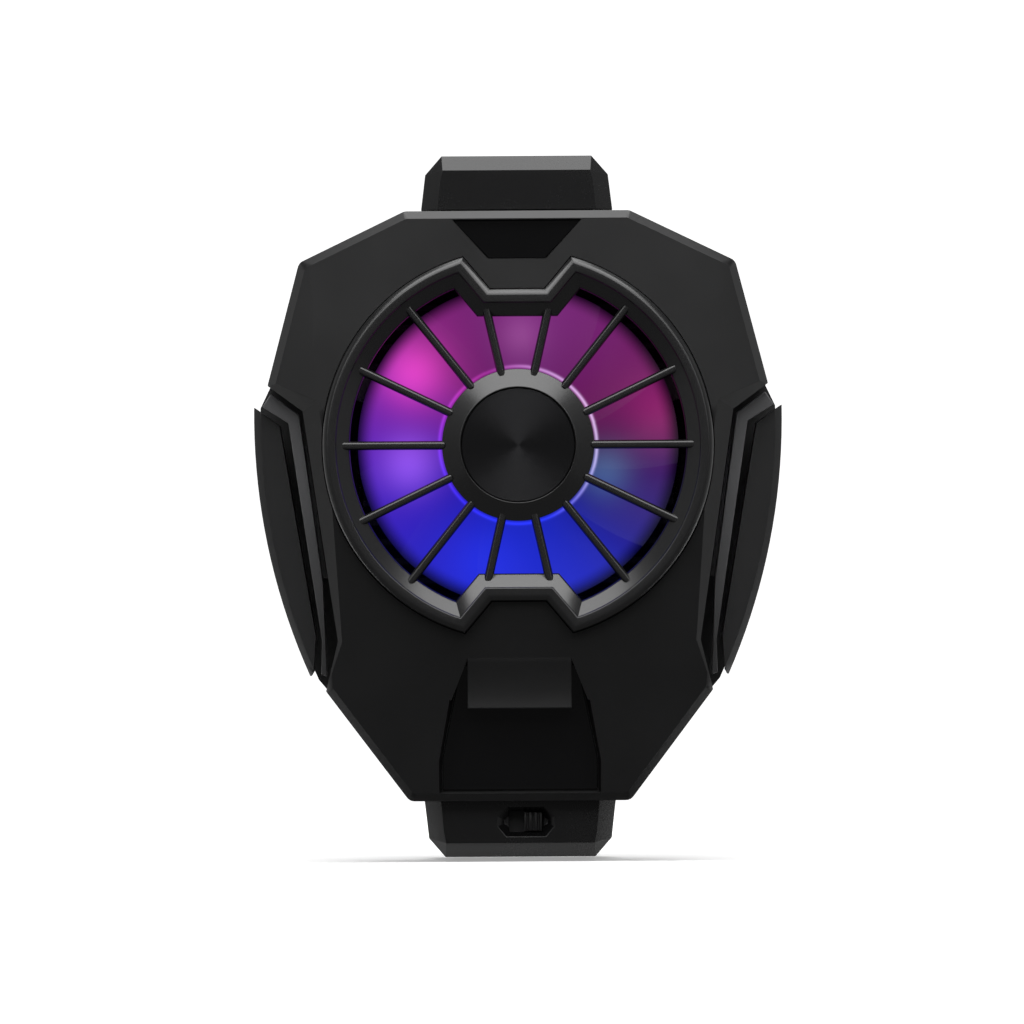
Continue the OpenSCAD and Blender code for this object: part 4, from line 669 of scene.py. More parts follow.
def metal(name, base, roughness, lines=3000.0, stretch=(1.0, 1.0, 1.0)):
    """Metal with drawn lines along the axis that the stretch makes short."""
    material, tree, shader, vector = new_material(name, Metallic=1.0)
    drawn = node_of(tree, "ShaderNodeMapping", {"Vector": vector, "Scale": stretch}).outputs[0]
    surface = group_in(tree, brushed_grain(), drawn, Lines=lines, Roughness=roughness, Spread=0.16)
    tint = mottled(tree, surface, base, dark=0.8, pale=1.15)
    coated(tree, shader, tint, surface["Roughness"], surface["Height"], depth=0.002 * MM)
    return material


def spun_cap(name, base):
    """Dark spun disc: rings about the fan axis and a highlight that fans out from it."""
    material, tree, shader, vector = new_material(name, Metallic=1.0, Anisotropic=0.78,
                                                  Anisotropic_Rotation=0.25)
    parts = split(tree, vector)
    radius = math_of(tree, "SQRT", square_of(tree, parts["X"], parts["Z"]))
    surface = group_in(tree, brushed_grain(), vector_of(tree, X=radius), Lines=14000.0, Roughness=0.25,
                       Spread=0.10)
    around = node_of(tree, "ShaderNodeTangent", direction_type="RADIAL", axis="Y")
    fill(tree, shader.inputs["Tangent"], around.outputs[0])
    tint = mottled(tree, surface, base, dark=0.85, pale=2.05)
    coated(tree, shader, tint, surface["Roughness"], surface["Height"], depth=0.001 * MM)
    return material


def gloss_black(name, base):
    """Polished inlay with faint waves."""
    material, tree, shader, vector = new_material(name, Specular_IOR_Level=0.3, Coat_Weight=0.1,
                                                  Coat_Roughness=0.05)
    surface = group_in(tree, moulded_grain(), vector, Grain=700.0, Roughness=0.10, Spread=0.06)
    tint = mottled(tree, surface, base, dark=0.8, pale=1.2)
    coated(tree, shader, tint, surface["Roughness"], surface["Height"], depth=0.001 * MM)
    return material


def board(name, mask, copper):
    """Circuit board: solder mask over faint copper fields and tracks."""
    material, tree, shader, vector = new_material(name)
    surface = group_in(tree, moulded_grain(), vector, Grain=2500.0, Roughness=0.35, Spread=0.1)
    cells = node_of(tree, "ShaderNodeTexVoronoi", {"Vector": vector, "Scale": 420.0},
                    feature="DISTANCE_TO_EDGE", distance="CHEBYCHEV")
    tracks = ranged(tree, cells.outputs["Distance"], start=0.04, end=0.07)
    tint = mixed(tree, tracks, rgba(mask), rgba(copper))
    coated(tree, shader, tint, surface["Roughness"], tracks, depth=0.02 * MM)
    return material


def foam(name, base):
    """Closed-cell foam."""
    material, tree, shader, vector = new_material(name)
    cells = node_of(tree, "ShaderNodeTexVoronoi", {"Vector": vector, "Scale": 2600.0}).outputs["Distance"]
    tint = mixed(tree, cells, rgba(base, gain=0.6), rgba(base, gain=1.5))
    coated(tree, shader, tint, roughness=0.9, height=cells, depth=0.05 * MM)
    return material


def painted_glow_plastic(name):
    """Frosted rotor plastic with painted light: a glow in colours that change round the fan axis, standing in
    for the light of the lamps in it.
    """
    glow = settings().glow
    material, tree, shader, vector = new_material(name, Emission_Strength=glow.strength,
                                                  Specular_IOR_Level=0.08)
    parts = split(tree, vector)
    across, up = parts["X"], parts["Z"]
    radius = math_of(tree, "SQRT", square_of(tree, across, up))
    bearing = math_of(tree, "ARCTAN2", up, across)
    # Colours round the axis, from the right over the top
    turned = math_of(tree, "FRACT", math_of(tree, "ADD", math_of(tree, "DIVIDE", bearing, TURN), 1.0))
    around = ramp_of(tree, turned, "B_SPLINE", (
        (0.0, glow.crimson), (0.07, glow.rose), (0.15, glow.plum), (0.25, glow.mauve), (0.31, glow.plum),
        (0.39, glow.pink), (0.50, glow.violet), (0.62, glow.indigo), (0.75, glow.blue), (0.82, glow.blue),
        (0.895, glow.navy), (1.0, glow.crimson)))
    total = around
    # Painted bright spots of light: millimetres across and up from the axis, size and colour
    spots = ((-11.0, 7.6, 3.3, glow.spot_pink), (-11.4, -1.9, 3.0, glow.spot_lavender),
             (9.2, -2.8, 2.6, glow.spot_teal), (15.2, 3.2, 3.8, glow.spot_crimson),
             (0.4, 11.6, 2.2, glow.spot_mauve), (-3.5, -12.0, 4.5, glow.spot_blue))
    for u, v, size, tint in spots:
        spot = group_in(tree, painted_light_spot(), vector, Place=(u * MM, 0.0, v * MM), Size=size * MM,
                        Colour=rgba(tint))
        total = mixed(tree, 1.0, total, spot["Colour"], "ADD")
    # The painted glow is darker towards the hub and the rim
    rim = 17.6 * MM
    falloff = ramp_of(tree, math_of(tree, "DIVIDE", radius, rim), "EASE", (
        (0.43, (0.85, 0.85, 0.85)), (0.865, (1.0, 1.0, 1.0)), (0.985, (0.01, 0.01, 0.03))))
    total = mixed(tree, 1.0, total, falloff, "MULTIPLY")
    # Painted thin line of light round the hub: the glow's own colour, and painted white light at the right
    line_radius, line_width, line_bearing, line_power = 8.35 * MM, 0.17 * MM, 0.35, 1.5
    off_line = math_of(tree, "DIVIDE", math_of(tree, "SUBTRACT", radius, line_radius), line_width)
    line = faded(tree, math_of(tree, "POWER", off_line, 2.0))
    side = math_of(tree, "COSINE", math_of(tree, "SUBTRACT", bearing, line_bearing))
    side = math_of(tree, "POWER", math_of(tree, "MAXIMUM", side, 0.0), line_power)
    white_painted_light = mixed(tree, side, BLACK, rgba(glow.hub_line))
    line_tint = mixed(tree, 1.0, white_painted_light, around, "ADD")
    total = mixed(tree, 1.0, total, mixed(tree, line, BLACK, line_tint), "ADD")
    fill(tree, shader.inputs["Emission Color"], total)
    surface = group_in(tree, moulded_grain(), vector, Grain=2600.0, Roughness=0.55, Spread=0.08)
    body = mixed(tree, surface["Mottle"], (0.004, 0.004, 0.006, 1.0), (0.008, 0.008, 0.011, 1.0))
    coated(tree, shader, body, surface["Roughness"], surface["Height"], depth=0.002 * MM)
    return material


def lamp_lens(name):
    """Small lamp: pale lens with a violet light in it."""
    material, tree, shader, vector = new_material(name, Emission_Strength=0.6)
    surface = group_in(tree, moulded_grain(), vector, Grain=1800.0, Roughness=0.3, Spread=0.1)
    lens = mixed(tree, surface["Mottle"], (0.75, 0.7, 0.55, 1.0), (0.9, 0.88, 0.8, 1.0))
    light = mixed(tree, surface["Mottle"], (0.7, 0.3, 0.9, 1.0), (0.9, 0.5, 1.0, 1.0))
    fill(tree, shader.inputs["Base Color"], lens)
    fill(tree, shader.inputs["Emission Color"], light)
    fill(tree, shader.inputs["Roughness"], surface["Roughness"])
    return material


@cache
def finish(name):
    """Finish of this cooler by name, made the first time that it is asked for."""
    p = settings().plastic
    # Directions of drawn lines: across, up, round the core and round the windings
    across, up, core, wound = (0.03, 1.0, 1.0), (1.0, 1.0, 0.05), (0.05, 1.0, 0.05), (0.1, 1.0, 0.1)
    plastics = {
        "cover_black": dict(base=p.cover, roughness=0.32),
        "guard_black": dict(base=p.guard, roughness=0.25, depth=0.0004 * MM, specular=0.75, spread=0.03),
        "wing_black": dict(base=p.wing, roughness=0.36, specular=0.42),
        # The trims darken downwards: painted shade
        "trim_grey": dict(base=p.trim, roughness=0.38, spread=0.08, fade=(-22 * MM, -4 * MM, 0.25)),
        "rear_black": dict(base=p.rear, roughness=0.5, depth=0.008 * MM),
        "jaw_black": dict(base=p.jaw, roughness=0.27, depth=0.0003 * MM, spread=0.06),
        "grip_rubber": dict(base=p.rubber, roughness=0.72, wear=0.2, grain=3600.0, depth=0.02 * MM,
                            specular=0.3),
        "pad_silicone": dict(base=(0.30, 0.31, 0.33), roughness=0.55, wear=0.1, grain=3000.0,
                             depth=0.01 * MM),
        "frame_black": dict(base=p.frame, roughness=0.5),
        "knob_black": dict(base=p.cover, roughness=0.45, depth=0.0004 * MM, specular=0.4),
        "ceramic": dict(base=(0.80, 0.80, 0.77), roughness=0.55, wear=0.0),
        "lead_red": dict(base=(0.40, 0.03, 0.025), roughness=0.4, wear=0.0),
        "magnet": dict(base=(0.07, 0.07, 0.075), roughness=0.55, wear=0.3),
        "chip_black": dict(base=(0.02, 0.02, 0.022), roughness=0.5, wear=0.1),
    }
    metals = {
        "spring_steel": dict(base=(0.55, 0.56, 0.58), roughness=0.28),
        "screw_steel": dict(base=(0.20, 0.20, 0.21), roughness=0.34),
        "aluminium": dict(base=(0.72, 0.73, 0.75), roughness=0.34, stretch=across),
        "black_anodised": dict(base=(0.020, 0.020, 0.022), roughness=0.5, stretch=across),
        "socket_nickel": dict(base=(0.62, 0.61, 0.59), roughness=0.26, stretch=up),
        "contact_gold": dict(base=(0.85, 0.60, 0.25), roughness=0.25),
        "pellet": dict(base=(0.22, 0.22, 0.24), roughness=0.5),
        "bronze": dict(base=(0.55, 0.38, 0.18), roughness=0.42),
        "core_iron": dict(base=(0.28, 0.28, 0.30), roughness=0.45, lines=5000.0, stretch=core),
        "copper_wire": dict(base=(0.62, 0.26, 0.10), roughness=0.32, lines=6000.0, stretch=wound),
    }
    boards = {
        "board_green": dict(mask=(0.010, 0.075, 0.035), copper=(0.02, 0.13, 0.06)),
        "board_black": dict(mask=(0.008, 0.008, 0.009), copper=(0.018, 0.018, 0.02)),
    }
    tables = ((plastic, plastics), (metal, metals), (board, boards),
              (gloss_black, {"inlay_black": dict(base=p.inlay)}),
              (spun_cap, {"cap_spun": dict(base=(0.040, 0.040, 0.042))}),
              (foam, {"foam_black": dict(base=(0.035, 0.035, 0.037))}),
              (painted_glow_plastic, {"rotor_lit": {}}), (lamp_lens, {"lamp_lens": {}}))
    for maker, table in tables:
        if name in table:
            return maker(name, **table[name])
    raise KeyError(name)


# Pieces

class COOLER_OT_shells(bpy.types.Operator):
    """Front cover and rear cover"""
    bl_idname = "cooler.shells"
    bl_label = "Shells"

    def execute(self, context):
        edge = settings().plastic.edge
        dressed("front_cover", "cover_shell", "case", "cover", finish("cover_black"), edge)
        dressed("rear_cover", "rear_shell", "case", "rear", finish("rear_black"), edge)
        return {"FINISHED"}


class COOLER_OT_side_pieces(bpy.types.Operator):
    """Wings and satin trims on both sides"""
    bl_idname = "cooler.side_pieces"
    bl_label = "Wings and Trims"

    # Corners that open the dark gaps beside the trim, on the right side.
    # Place across and up, then the step across and up, in millimetres
    WING_SPOTS = ((25.0, 2.2, 0.28, 0.0), (21.32, -20.2, 0.22, 0.0), (21.85, -24.4, 0.2, 0.0))
    TRIM_SPOTS = ((24.5, 2.45, -0.16, 0.0), (23.15, 3.6, 0.05, -0.28), (26.2, 5.73, 0.0, -0.2))

    def execute(self, context):
        edge, trim_edge = settings().plastic.edge, 0.09 * MM
        for side, sign in SIDES:
            on_wing, on_trim = [
                [(u * sign * MM, v * MM, across * sign * MM, up * MM) for u, v, across, up in spots]
                for spots in (self.WING_SPOTS, self.TRIM_SPOTS)]
            dressed(f"wing_{side}", f"{side}_wing_panel", "case", "wing", finish("wing_black"), edge,
                    spots=on_wing, shade=WING_SHADE_ANGLE)
            dressed(f"trim_{side}", f"{side}_trim_strip", "case", "trim", finish("trim_grey"), trim_edge,
                    spots=on_trim)
        return {"FINISHED"}


class COOLER_OT_hood(bpy.types.Operator):
    """Hood over the channel and the gloss inlays in both pockets; the channel's inlay also runs up beside the
    hood as painted shade in its slits
    """
    bl_idname = "cooler.hood"
    bl_label = "Hood and Inlays"

    def execute(self, context):
        low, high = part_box("hood")
        back, half, top, foot = -high.y, high.x, high.z, low.z
        # Depth of the cover's face at the hood's top, and how fast it falls back below
        root = -low.y - 0.13 * MM
        rake = math.tan(math.radians(4.5))

        def cover_face(height):
            return root - (top - height) * rake

        # The visor starts level with the cover, stands proud of it and curls out towards its foot
        proud, curl, curl_power, stations = 0.03 * MM, 0.38 * MM, 2.2, 10
        first, second = top + 0.6 * MM, top + 0.15 * MM
        skin = [(first, cover_face(first)), (second, cover_face(second) + proud)]
        for i in range(stations + 1):
            t = i / stations
            height = top - (top - foot) * t
            skin.append((height, cover_face(height) + proud + curl * t ** curl_power))
        nose_height, nose_depth, nose_back, tuck = 0.12 * MM, 0.10 * MM, 0.45 * MM, 0.3 * MM
        v, d = skin[-1]
        skin += [(v - nose_height, d - nose_depth), (v - nose_height, d - nose_back), (v + tuck, back)]

        bm = bmesh.new()
        flat_half, edge = 0.985 * half, 0.10 * MM
        across, ease = (-half, -flat_half, flat_half, half), (edge, 0.0, 0.0, edge)
        front = [[bm.verts.new((u, -(d - e), v)) for u, e in zip(across, ease)] for v, d in skin]
        rear = [[bm.verts.new((u, -back, v)) for u in across] for v, d in skin[:-1]] + [front[-1]]
        for a, b, c, d in zip(front, front[1:], rear, rear[1:]):
            for i in range(3):
                bm.faces.new((a[i], a[i + 1], b[i + 1], b[i]))
                bm.faces.new((c[i], d[i], d[i + 1], c[i + 1]))
            for i in (0, 3):
                # The last row has its front and rear in common
                bm.faces.new(list(dict.fromkeys((a[i], b[i], d[i], c[i]))))
        for i in range(3):
            bm.faces.new((front[0][i], rear[0][i], rear[0][i + 1], front[0][i + 1]))
        bmesh.ops.recalc_face_normals(bm, faces=bm.faces)
        settle(piece("channel_hood", bm, finish("cover_black")), "case", "cover", "hood")

        web_top, web_foot, web_proud = top + 0.5 * MM, top - 4.0 * MM, 0.012 * MM
        corners = [(half - 0.1 * MM, web_top), (half + 1.25 * MM, web_top),
                   (half + 2.3 * MM, web_foot), (half + 1.68 * MM, web_foot)]
        for side, sign in SIDES:
            loops = [[Vector((sign * u, -back, v)) for u, v in corners],
                     [Vector((sign * u, -(cover_face(v) + web_proud), v)) for u, v in corners]]
            settle(piece(f"{side}_hood_web", loft(loops), finish("cover_black")), "case", "cover", "hood")

        inlay_edge = 0.08 * MM
        dressed("top_inlay", "top_pocket_inlay", "case", "gloss_black", finish("inlay_black"), inlay_edge)
        # The channel's inlay runs up beside the hood nearly to its top: below, it is the real gloss inlay;
        # above, it is a dark sheet of painted shade in the slits beside the hood
        low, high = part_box("channel_inlay")
        half, bend, up, up_half = high.x, low.z + 3.3 * MM, top - 0.3 * MM, high.x - 2.0 * MM
        outline = [(-half, low.z), (half, low.z), (half, bend), (up_half, up), (-up_half, up), (-half, bend)]
        bm = loft([[Vector((u, y, v)) for u, v in outline] for y in (low.y, high.y)])
        floor = piece("channel_floor_inlay", round_edges(bm, inlay_edge), finish("inlay_black"))
        settle(floor, "case", "gloss_black", "channel_inlay")
        return {"FINISHED"}


def vent_loop(grow, depth, steps=72):
    """Vent outline moved outwards: two arcs joined by two lugs."""
    g = settings().guard
    radius = g.throat + grow
    half = g.lug_half - grow * math.tan(g.lug_angle / 2)
    flat = g.lug_height + grow
    run = half * math.cos(g.lug_angle) + flat * math.sin(g.lug_angle)
    out = math.sqrt(run ** 2 - (half ** 2 + flat ** 2 - radius ** 2)) - run
    corner = math.atan2(flat + out * math.sin(g.lug_angle), half + out * math.cos(g.lug_angle))
    arc = [corner * (2 * i / steps - 1) for i in range(steps + 1)]
    points = [(radius * math.cos(a), radius * math.sin(a)) for a in arc]
    points += [(half, flat), (-half, flat)]
    points += [(radius * math.cos(a + math.pi), radius * math.sin(a + math.pi)) for a in arc]
    points += [(-half, -flat), (half, -flat)]
    return [Vector((u, -depth, v)) for u, v in points]


class COOLER_OT_guard(bpy.types.Operator):
    """Guard: lip round the vent, spokes and hub ring"""
    bl_idname = "cooler.guard"
    bl_label = "Guard"

    def execute(self, context):
        g = settings().guard
        black = finish("guard_black")
        low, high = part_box("fan_guard")
        lip, ledge = -low.y, -high.y
        cover = lip - g.rise
        seat = ledge + g.seat
        outer_drop, inner_step, throat_edge = lip - 0.42 * MM, lip - 0.25 * MM, cover - 0.6 * MM
        section = [(g.lip + g.ledge, ledge), (g.lip + g.ledge, seat), (g.lip, seat), (g.lip, outer_drop),
                   (g.crest, lip), (g.bevel, lip), (g.bevel, inner_step), (0.0, throat_edge), (0.0, ledge)]
        profile = eased(section, 0.22 * MM, closed=True)
        bm = loft([vent_loop(grow, depth) for grow, depth in profile], wrap=True)
        settle(piece("guard_lip", bm, black), "case", "guard", "fan_guard")

        # A spoke of unit length, narrower at its front
        spoke_back = cover - g.spoke_depth
        half, shoulder, top_half = g.spoke_width / 2, g.spoke_depth * 0.7, g.spoke_width / 2 * 0.62
        outline = eased([(-half, 0.0), (half, 0.0), (half, shoulder), (top_half, g.spoke_depth),
                         (-top_half, g.spoke_depth), (-half, shoulder)], 0.16 * MM, closed=True)
        start = 7.8 * MM / g.spoke_reach
        # Share of the reach and of the width
        stations = [(start, 0.8), (start + 0.01, 1.0), (0.985, 1.0), (0.996, 0.8), (1.0, 0.45)]
        bar = loft([[Vector((x, -spoke_back - depth, across * k)) for across, depth in outline]
                    for x, k in stations])
        spokes = grown("guard_spokes", mesh_of("spoke", bar), ring_tree(), {
            "Count": g.spokes, "Reach": g.spoke_reach, "Flat": g.lug_height + g.spoke_over, "Finish": black})
        settle(shaded(spokes), "case", "guard", "fan_guard")

        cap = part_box("hub_cap")[1]
        cap_back, bore = -cap.y, 0.2 * MM
        hub_back, hub_edge, hub_top = spoke_back - 0.3 * MM, cover - 0.3 * MM, cover + g.hub_rise
        inside, brow = cap.x + 0.1 * MM, cap.x + 0.2 * MM
        section = [(bore, hub_back), (g.hub, hub_back), (g.hub, hub_edge), (brow, hub_top),
                   (inside, hub_top), (inside, cap_back), (bore, cap_back)]
        hub = lathe(eased(section, 0.05 * MM), steps=128)
        settle(piece("guard_hub", hub, black), "case", "guard", "fan_guard")
        return {"FINISHED"}


class COOLER_OT_hub_cap(bpy.types.Operator):
    """Spun disc in the middle of the guard"""
    bl_idname = "cooler.hub_cap"
    bl_label = "Hub Cap"

    def execute(self, context):
        low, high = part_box("hub_cap")
        sunk, chamfer, bore = 0.12 * MM, 0.06 * MM, 0.1 * MM
        r, back, front = high.x, -high.y, -low.y - sunk
        section = [(bore, back), (r, back), (r, front - chamfer), (r - chamfer, front), (bore, front)]
        cap = lathe(eased(section, chamfer / 2), steps=128)
        settle(piece("cap_disc", cap, finish("cap_spun")), "case", "cap", "hub_cap")
        return {"FINISHED"}


class COOLER_OT_jaws(bpy.types.Operator):
    """Both jaws and the rubber grips on them"""
    bl_idname = "cooler.jaws"
    bl_label = "Jaws and Grips"

    def execute(self, context):
        edge, grip_edge = settings().plastic.edge, 0.12 * MM
        for side, body in (("lower", "case"), ("upper", "jaw")):
            dressed(f"{side}_jaw", f"{side}_jaw_moulding", body, "jaw", finish("jaw_black"), edge)
            dressed(f"{side}_jaw_pad", f"{side}_grip", body, "soft", finish("grip_rubber"), grip_edge)
        return {"FINISHED"}


class COOLER_OT_springs(bpy.types.Operator):
    """Wire springs that pull the upper jaw down"""
    bl_idname = "cooler.springs"
    bl_label = "Springs"

    def execute(self, context):
        radius, wire, loop, turns = 1.0 * MM, 0.2 * MM, 1.15 * MM, 32.0
        for side, _ in SIDES:
            low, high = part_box(f"spring_{side}")
            middle = (low + high) / 2
            start = Vector((middle.x, middle.y, low.z + 2 * loop + wire))
            run = high.z - low.z - 4 * loop - 2 * wire
            coil = grown(f"{side}_spring_coil", bpy.data.meshes.new(f"{side}_spring_seed"), spring_tree(), {
                "Radius": radius, "Wire": wire, "Length": run, "Turns": turns, "Loop": loop, "Place": start,
                "Finish": finish("spring_steel")})
            smooth(coil.data)
            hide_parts(f"spring_{side}")
            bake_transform(coil)
        return {"FINISHED"}


class COOLER_OT_contact(bpy.types.Operator):
    """Soft sheet that lies on the phone"""
    bl_idname = "cooler.contact"
    bl_label = "Contact Sheet"

    def execute(self, context):
        dressed("contact_pad", "contact_sheet", "case", "pad", finish("pad_silicone"), 0.2 * MM, segments=3)
        return {"FINISHED"}


def blade_loops(s, top, bottom, root, cells=24, stations=14):
    """Sections of one blade from its root to its tip: thick in the middle, hollowed and swept."""
    edge_share, widening, hollow = 0.35, 0.15, 0.10
    loops = []
    for k in range(stations + 1):
        t = k / stations
        r = root + (s.tip - root) * t
        loop = []
        for i in range(2 * cells + 2):
            upper = i <= cells
            c = (i if upper else 2 * cells + 1 - i) / cells
            bearing = s.sweep * t + s.span * (1 + widening * t) * (c - 0.5)
            round_off = math.sqrt(max(0.0, 4 * c * (1 - c)))
            thick = s.thickness * (edge_share + (1 - edge_share) * round_off) / 2
            fall = c + hollow * math.sin(math.pi * c)
            middle = top - s.thickness / 2 - (top - bottom - s.thickness) * fall
            depth = max(bottom, min(top, middle + (thick if upper else -thick)))
            loop.append(Vector((r * math.cos(bearing), -depth, r * math.sin(bearing))))
        loops.append(loop)
    return loops


class COOLER_OT_rotor(bpy.types.Operator):
    """Rotor with painted glow: hub and blades"""
    bl_idname = "cooler.rotor"
    bl_label = "Rotor"

    def execute(self, context):
        s = settings().rotor
        lit = finish("rotor_lit")
        face = -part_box("impeller")[0].y
        top = face - 0.5 * MM
        blade = loft(blade_loops(s, top, top - s.depth, s.hub - 0.4 * MM))
        blades = grown("rotor_blades", mesh_of("blade", blade), ring_tree(), {
            "Count": s.blades, "Finish": lit})
        settle(shaded(blades), "rotor", "lit", "impeller")

        skirt, wall, chamfer = 15.0 * MM, 0.8 * MM, 0.5 * MM
        bore, boss, boss_back, bore_edge = 0.76 * MM, 1.7 * MM, 17.8 * MM, 0.3 * MM
        section = [(bore, face - bore_edge), (bore, face), (s.hub - chamfer, face), (s.hub, face - chamfer),
                   (s.hub, skirt), (s.hub - wall, skirt), (s.hub - wall, face - wall), (boss, face - wall),
                   (boss, boss_back), (bore, boss_back)]
        hub = lathe(eased(section, 0.15 * MM, closed=True), steps=96, wrap=True)
        settle(piece("rotor_hub", hub, lit), "rotor", "lit", "impeller")
        return {"FINISHED"}


class COOLER_OT_lamps(bpy.types.Operator):
    """Ring of lamps round the rotor"""
    bl_idname = "cooler.lamps"
    bl_label = "Lamps"

    def execute(self, context):
        low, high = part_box("lamps")
        front, back = -low.y, -high.y
        lamps, inner, half, run, ease = 12, 18.2 * MM, 0.8 * MM, 0.9 * MM, 0.15 * MM
        outline = eased([(0.0, -half), (run, -half), (run, half), (0.0, half)], ease, closed=True)
        middle = Vector((run / 2, 0.0))
        loops = []
        for depth, share in ((front, 1.0), (back + ease, 1.0), (back, 0.8)):
            corners = [middle + (p - middle) * share for p in outline]
            loops.append([Vector((inner + p.x, -depth, p.y)) for p in corners])
        lenses = grown("lamp_lenses", mesh_of("lamp", loft(loops)), ring_tree(), {
            "Count": lamps, "First Angle": TURN / lamps / 2, "Finish": finish("lamp_lens")})
        settle(shaded(lenses), "case", "lamp", "lamps")
        return {"FINISHED"}


def hexagon(radius, depth, steps):
    """Hexagon about the depth axis, with as many points as a ring."""
    points = []
    for i in range(steps):
        bearing = TURN * i / steps
        off_flat = (bearing % (TURN / 6)) - TURN / 12
        r = radius * math.cos(TURN / 12) / math.cos(off_flat)
        points.append(Vector((r * math.cos(bearing), -depth, r * math.sin(bearing))))
    return points


def socket_screw(head, shank, height, total, steps=36):
    """Socket-head screw along the depth axis, its head's face at the origin."""
    ease, floor, floor_middle = 0.15 * MM, height * 0.6, height * 0.62
    key, mouth, centre = head * 0.55, head * 0.62, head * 0.1
    hexagons = ((centre, floor_middle), (key, floor), (key, ease * 0.6), (mouth, 0.0))
    rings = ((head - ease, 0.0), (head, ease), (head, height), (shank, height), (shank, total - ease),
             (shank - ease, total))
    return loft([hexagon(r, d, steps) for r, d in hexagons] + [ring(r, d, steps) for r, d in rings])


class COOLER_OT_screws(bpy.types.Operator):
    """Case screws in the rear cover"""
    bl_idname = "cooler.screws"
    bl_label = "Case Screws"

    # Across and up from the fan axis, in millimetres
    PLACES = ((20.3, 15.2), (13.4, -29.0))

    def execute(self, context):
        low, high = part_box("case_screws")
        screw = socket_screw(head=1.8 * MM, shank=0.9 * MM, height=0.8 * MM, total=high.y - low.y)
        spots = [(sign * u * MM, high.y, v * MM) for _, sign in SIDES for u, v in self.PLACES]
        settle(copied("case_screw_set", screw, spots, finish("screw_steel")), "case", "steel", "case_screws")
        return {"FINISHED"}


class COOLER_OT_socket(bpy.types.Operator):
    """Power socket with its tongue and gold contacts"""
    bl_idname = "cooler.socket"
    bl_label = "Power Socket"

    def execute(self, context):
        dressed("usb_socket", "socket_shell", "case", "steel", finish("socket_nickel"), 0.06 * MM)
        dressed("usb_tongue", "socket_tongue", "case", "chip", finish("chip_black"), 0.08 * MM)
        low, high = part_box("usb_tongue")
        contacts, pitch, half, run = 12, 0.5 * MM, 0.16 * MM, 3.2 * MM
        proud, inset = 0.02 * MM, 0.4 * MM
        outline = eased([(-half, 0.0), (half, 0.0), (half, run), (-half, run)], half / 2, closed=True)
        strip = loft([[Vector((p.x, y, p.y)) for p in outline] for y in (0.0, high.y - low.y + 2 * proud)])
        first = (contacts - 1) / 2
        spots = [((i - first) * pitch, low.y - proud, low.z + inset) for i in range(contacts)]
        settle(copied("socket_contacts", strip, spots, finish("contact_gold")), "case", "bronze")
        return {"FINISHED"}


class COOLER_OT_switch(bpy.types.Operator):
    """Ribbed knob of the slide switch"""
    bl_idname = "cooler.switch"
    bl_label = "Switch Knob"

    def execute(self, context):
        dressed("switch_knob", "knob_grip", "switch", "frame", finish("knob_black"), 0.06 * MM)
        return {"FINISHED"}


class COOLER_OT_inner_parts(bpy.types.Operator):
    """Finishes for the solids inside the case"""
    bl_idname = "cooler.inner_parts"
    bl_label = "Inner Parts"

    INNER = {
        "aluminium": ("cold_plate",),
        "black_anodised": ("heat_sink",),
        "ceramic": ("peltier_cold_face", "peltier_hot_face", "shaft_clip"),
        "pellet": ("peltier_pellets",),
        "foam_black": ("foam_frame",),
        "lead_red": ("peltier_leads",),
        "spring_steel": ("arm_keeper", "rotor_yoke", "shaft"),
        "screw_steel": ("arm_screw", "clamp_screws", "board_screws", "fan_screws", "jaw_screws"),
        "frame_black": ("fan_frame", "slide_switch"),
        "bronze": ("bearing",),
        "core_iron": ("stator_core",),
        "copper_wire": ("stator_windings",),
        "board_green": ("motor_board", "main_board"),
        "board_black": ("lamp_board",),
        "magnet": ("magnet_ring",),
        "chip_black": ("board_components",),
    }

    def execute(self, context):
        for name, nodes in self.INNER.items():
            for node in nodes:
                mesh = SOLIDS[node].data
                mesh.materials.clear()
                mesh.materials.append(finish(name))
        return {"FINISHED"}


# Studio

def pale_paint(name, near, far, start, end):
    """Pale paint that keeps the shadow; the camera, mirrors and glass see it lit from near to far."""
    material, tree = blank_material(name)
    depth = split(tree, node_of(tree, "ShaderNodeTexCoord").outputs["Object"])["Y"]
    level = ranged(tree, depth, start, end, near, far, interpolation_type="SMOOTHSTEP")
    path = node_of(tree, "ShaderNodeLightPath").outputs
    seen = math_of(tree, "MAXIMUM", path["Is Glossy Ray"], path["Is Transmission Ray"])
    seen = math_of(tree, "MAXIMUM", seen, path["Is Camera Ray"])
    glow = node_of(tree, "ShaderNodeEmission", {"Strength": math_of(tree, "MULTIPLY", seen, level)})
    paint = node_of(tree, "ShaderNodeBsdfDiffuse", {"Color": (0.8, 0.8, 0.8, 1.0)})
    total = node_of(tree, "ShaderNodeAddShader", {0: paint.outputs[0], 1: glow.outputs[0]})
    node_of(tree, "ShaderNodeOutputMaterial", {"Surface": total.outputs[0]})
    return material


def softbox(name, place, aim, width, depth, power):
    light = bpy.data.lights.new(name, "AREA")
    light.shape = "RECTANGLE"
    light.size, light.size_y = width, depth
    light.energy = power
    obj = linked(name, light)
    obj.location = place
    obj.rotation_euler = (aim - place).to_track_quat("-Z", "Y").to_euler()


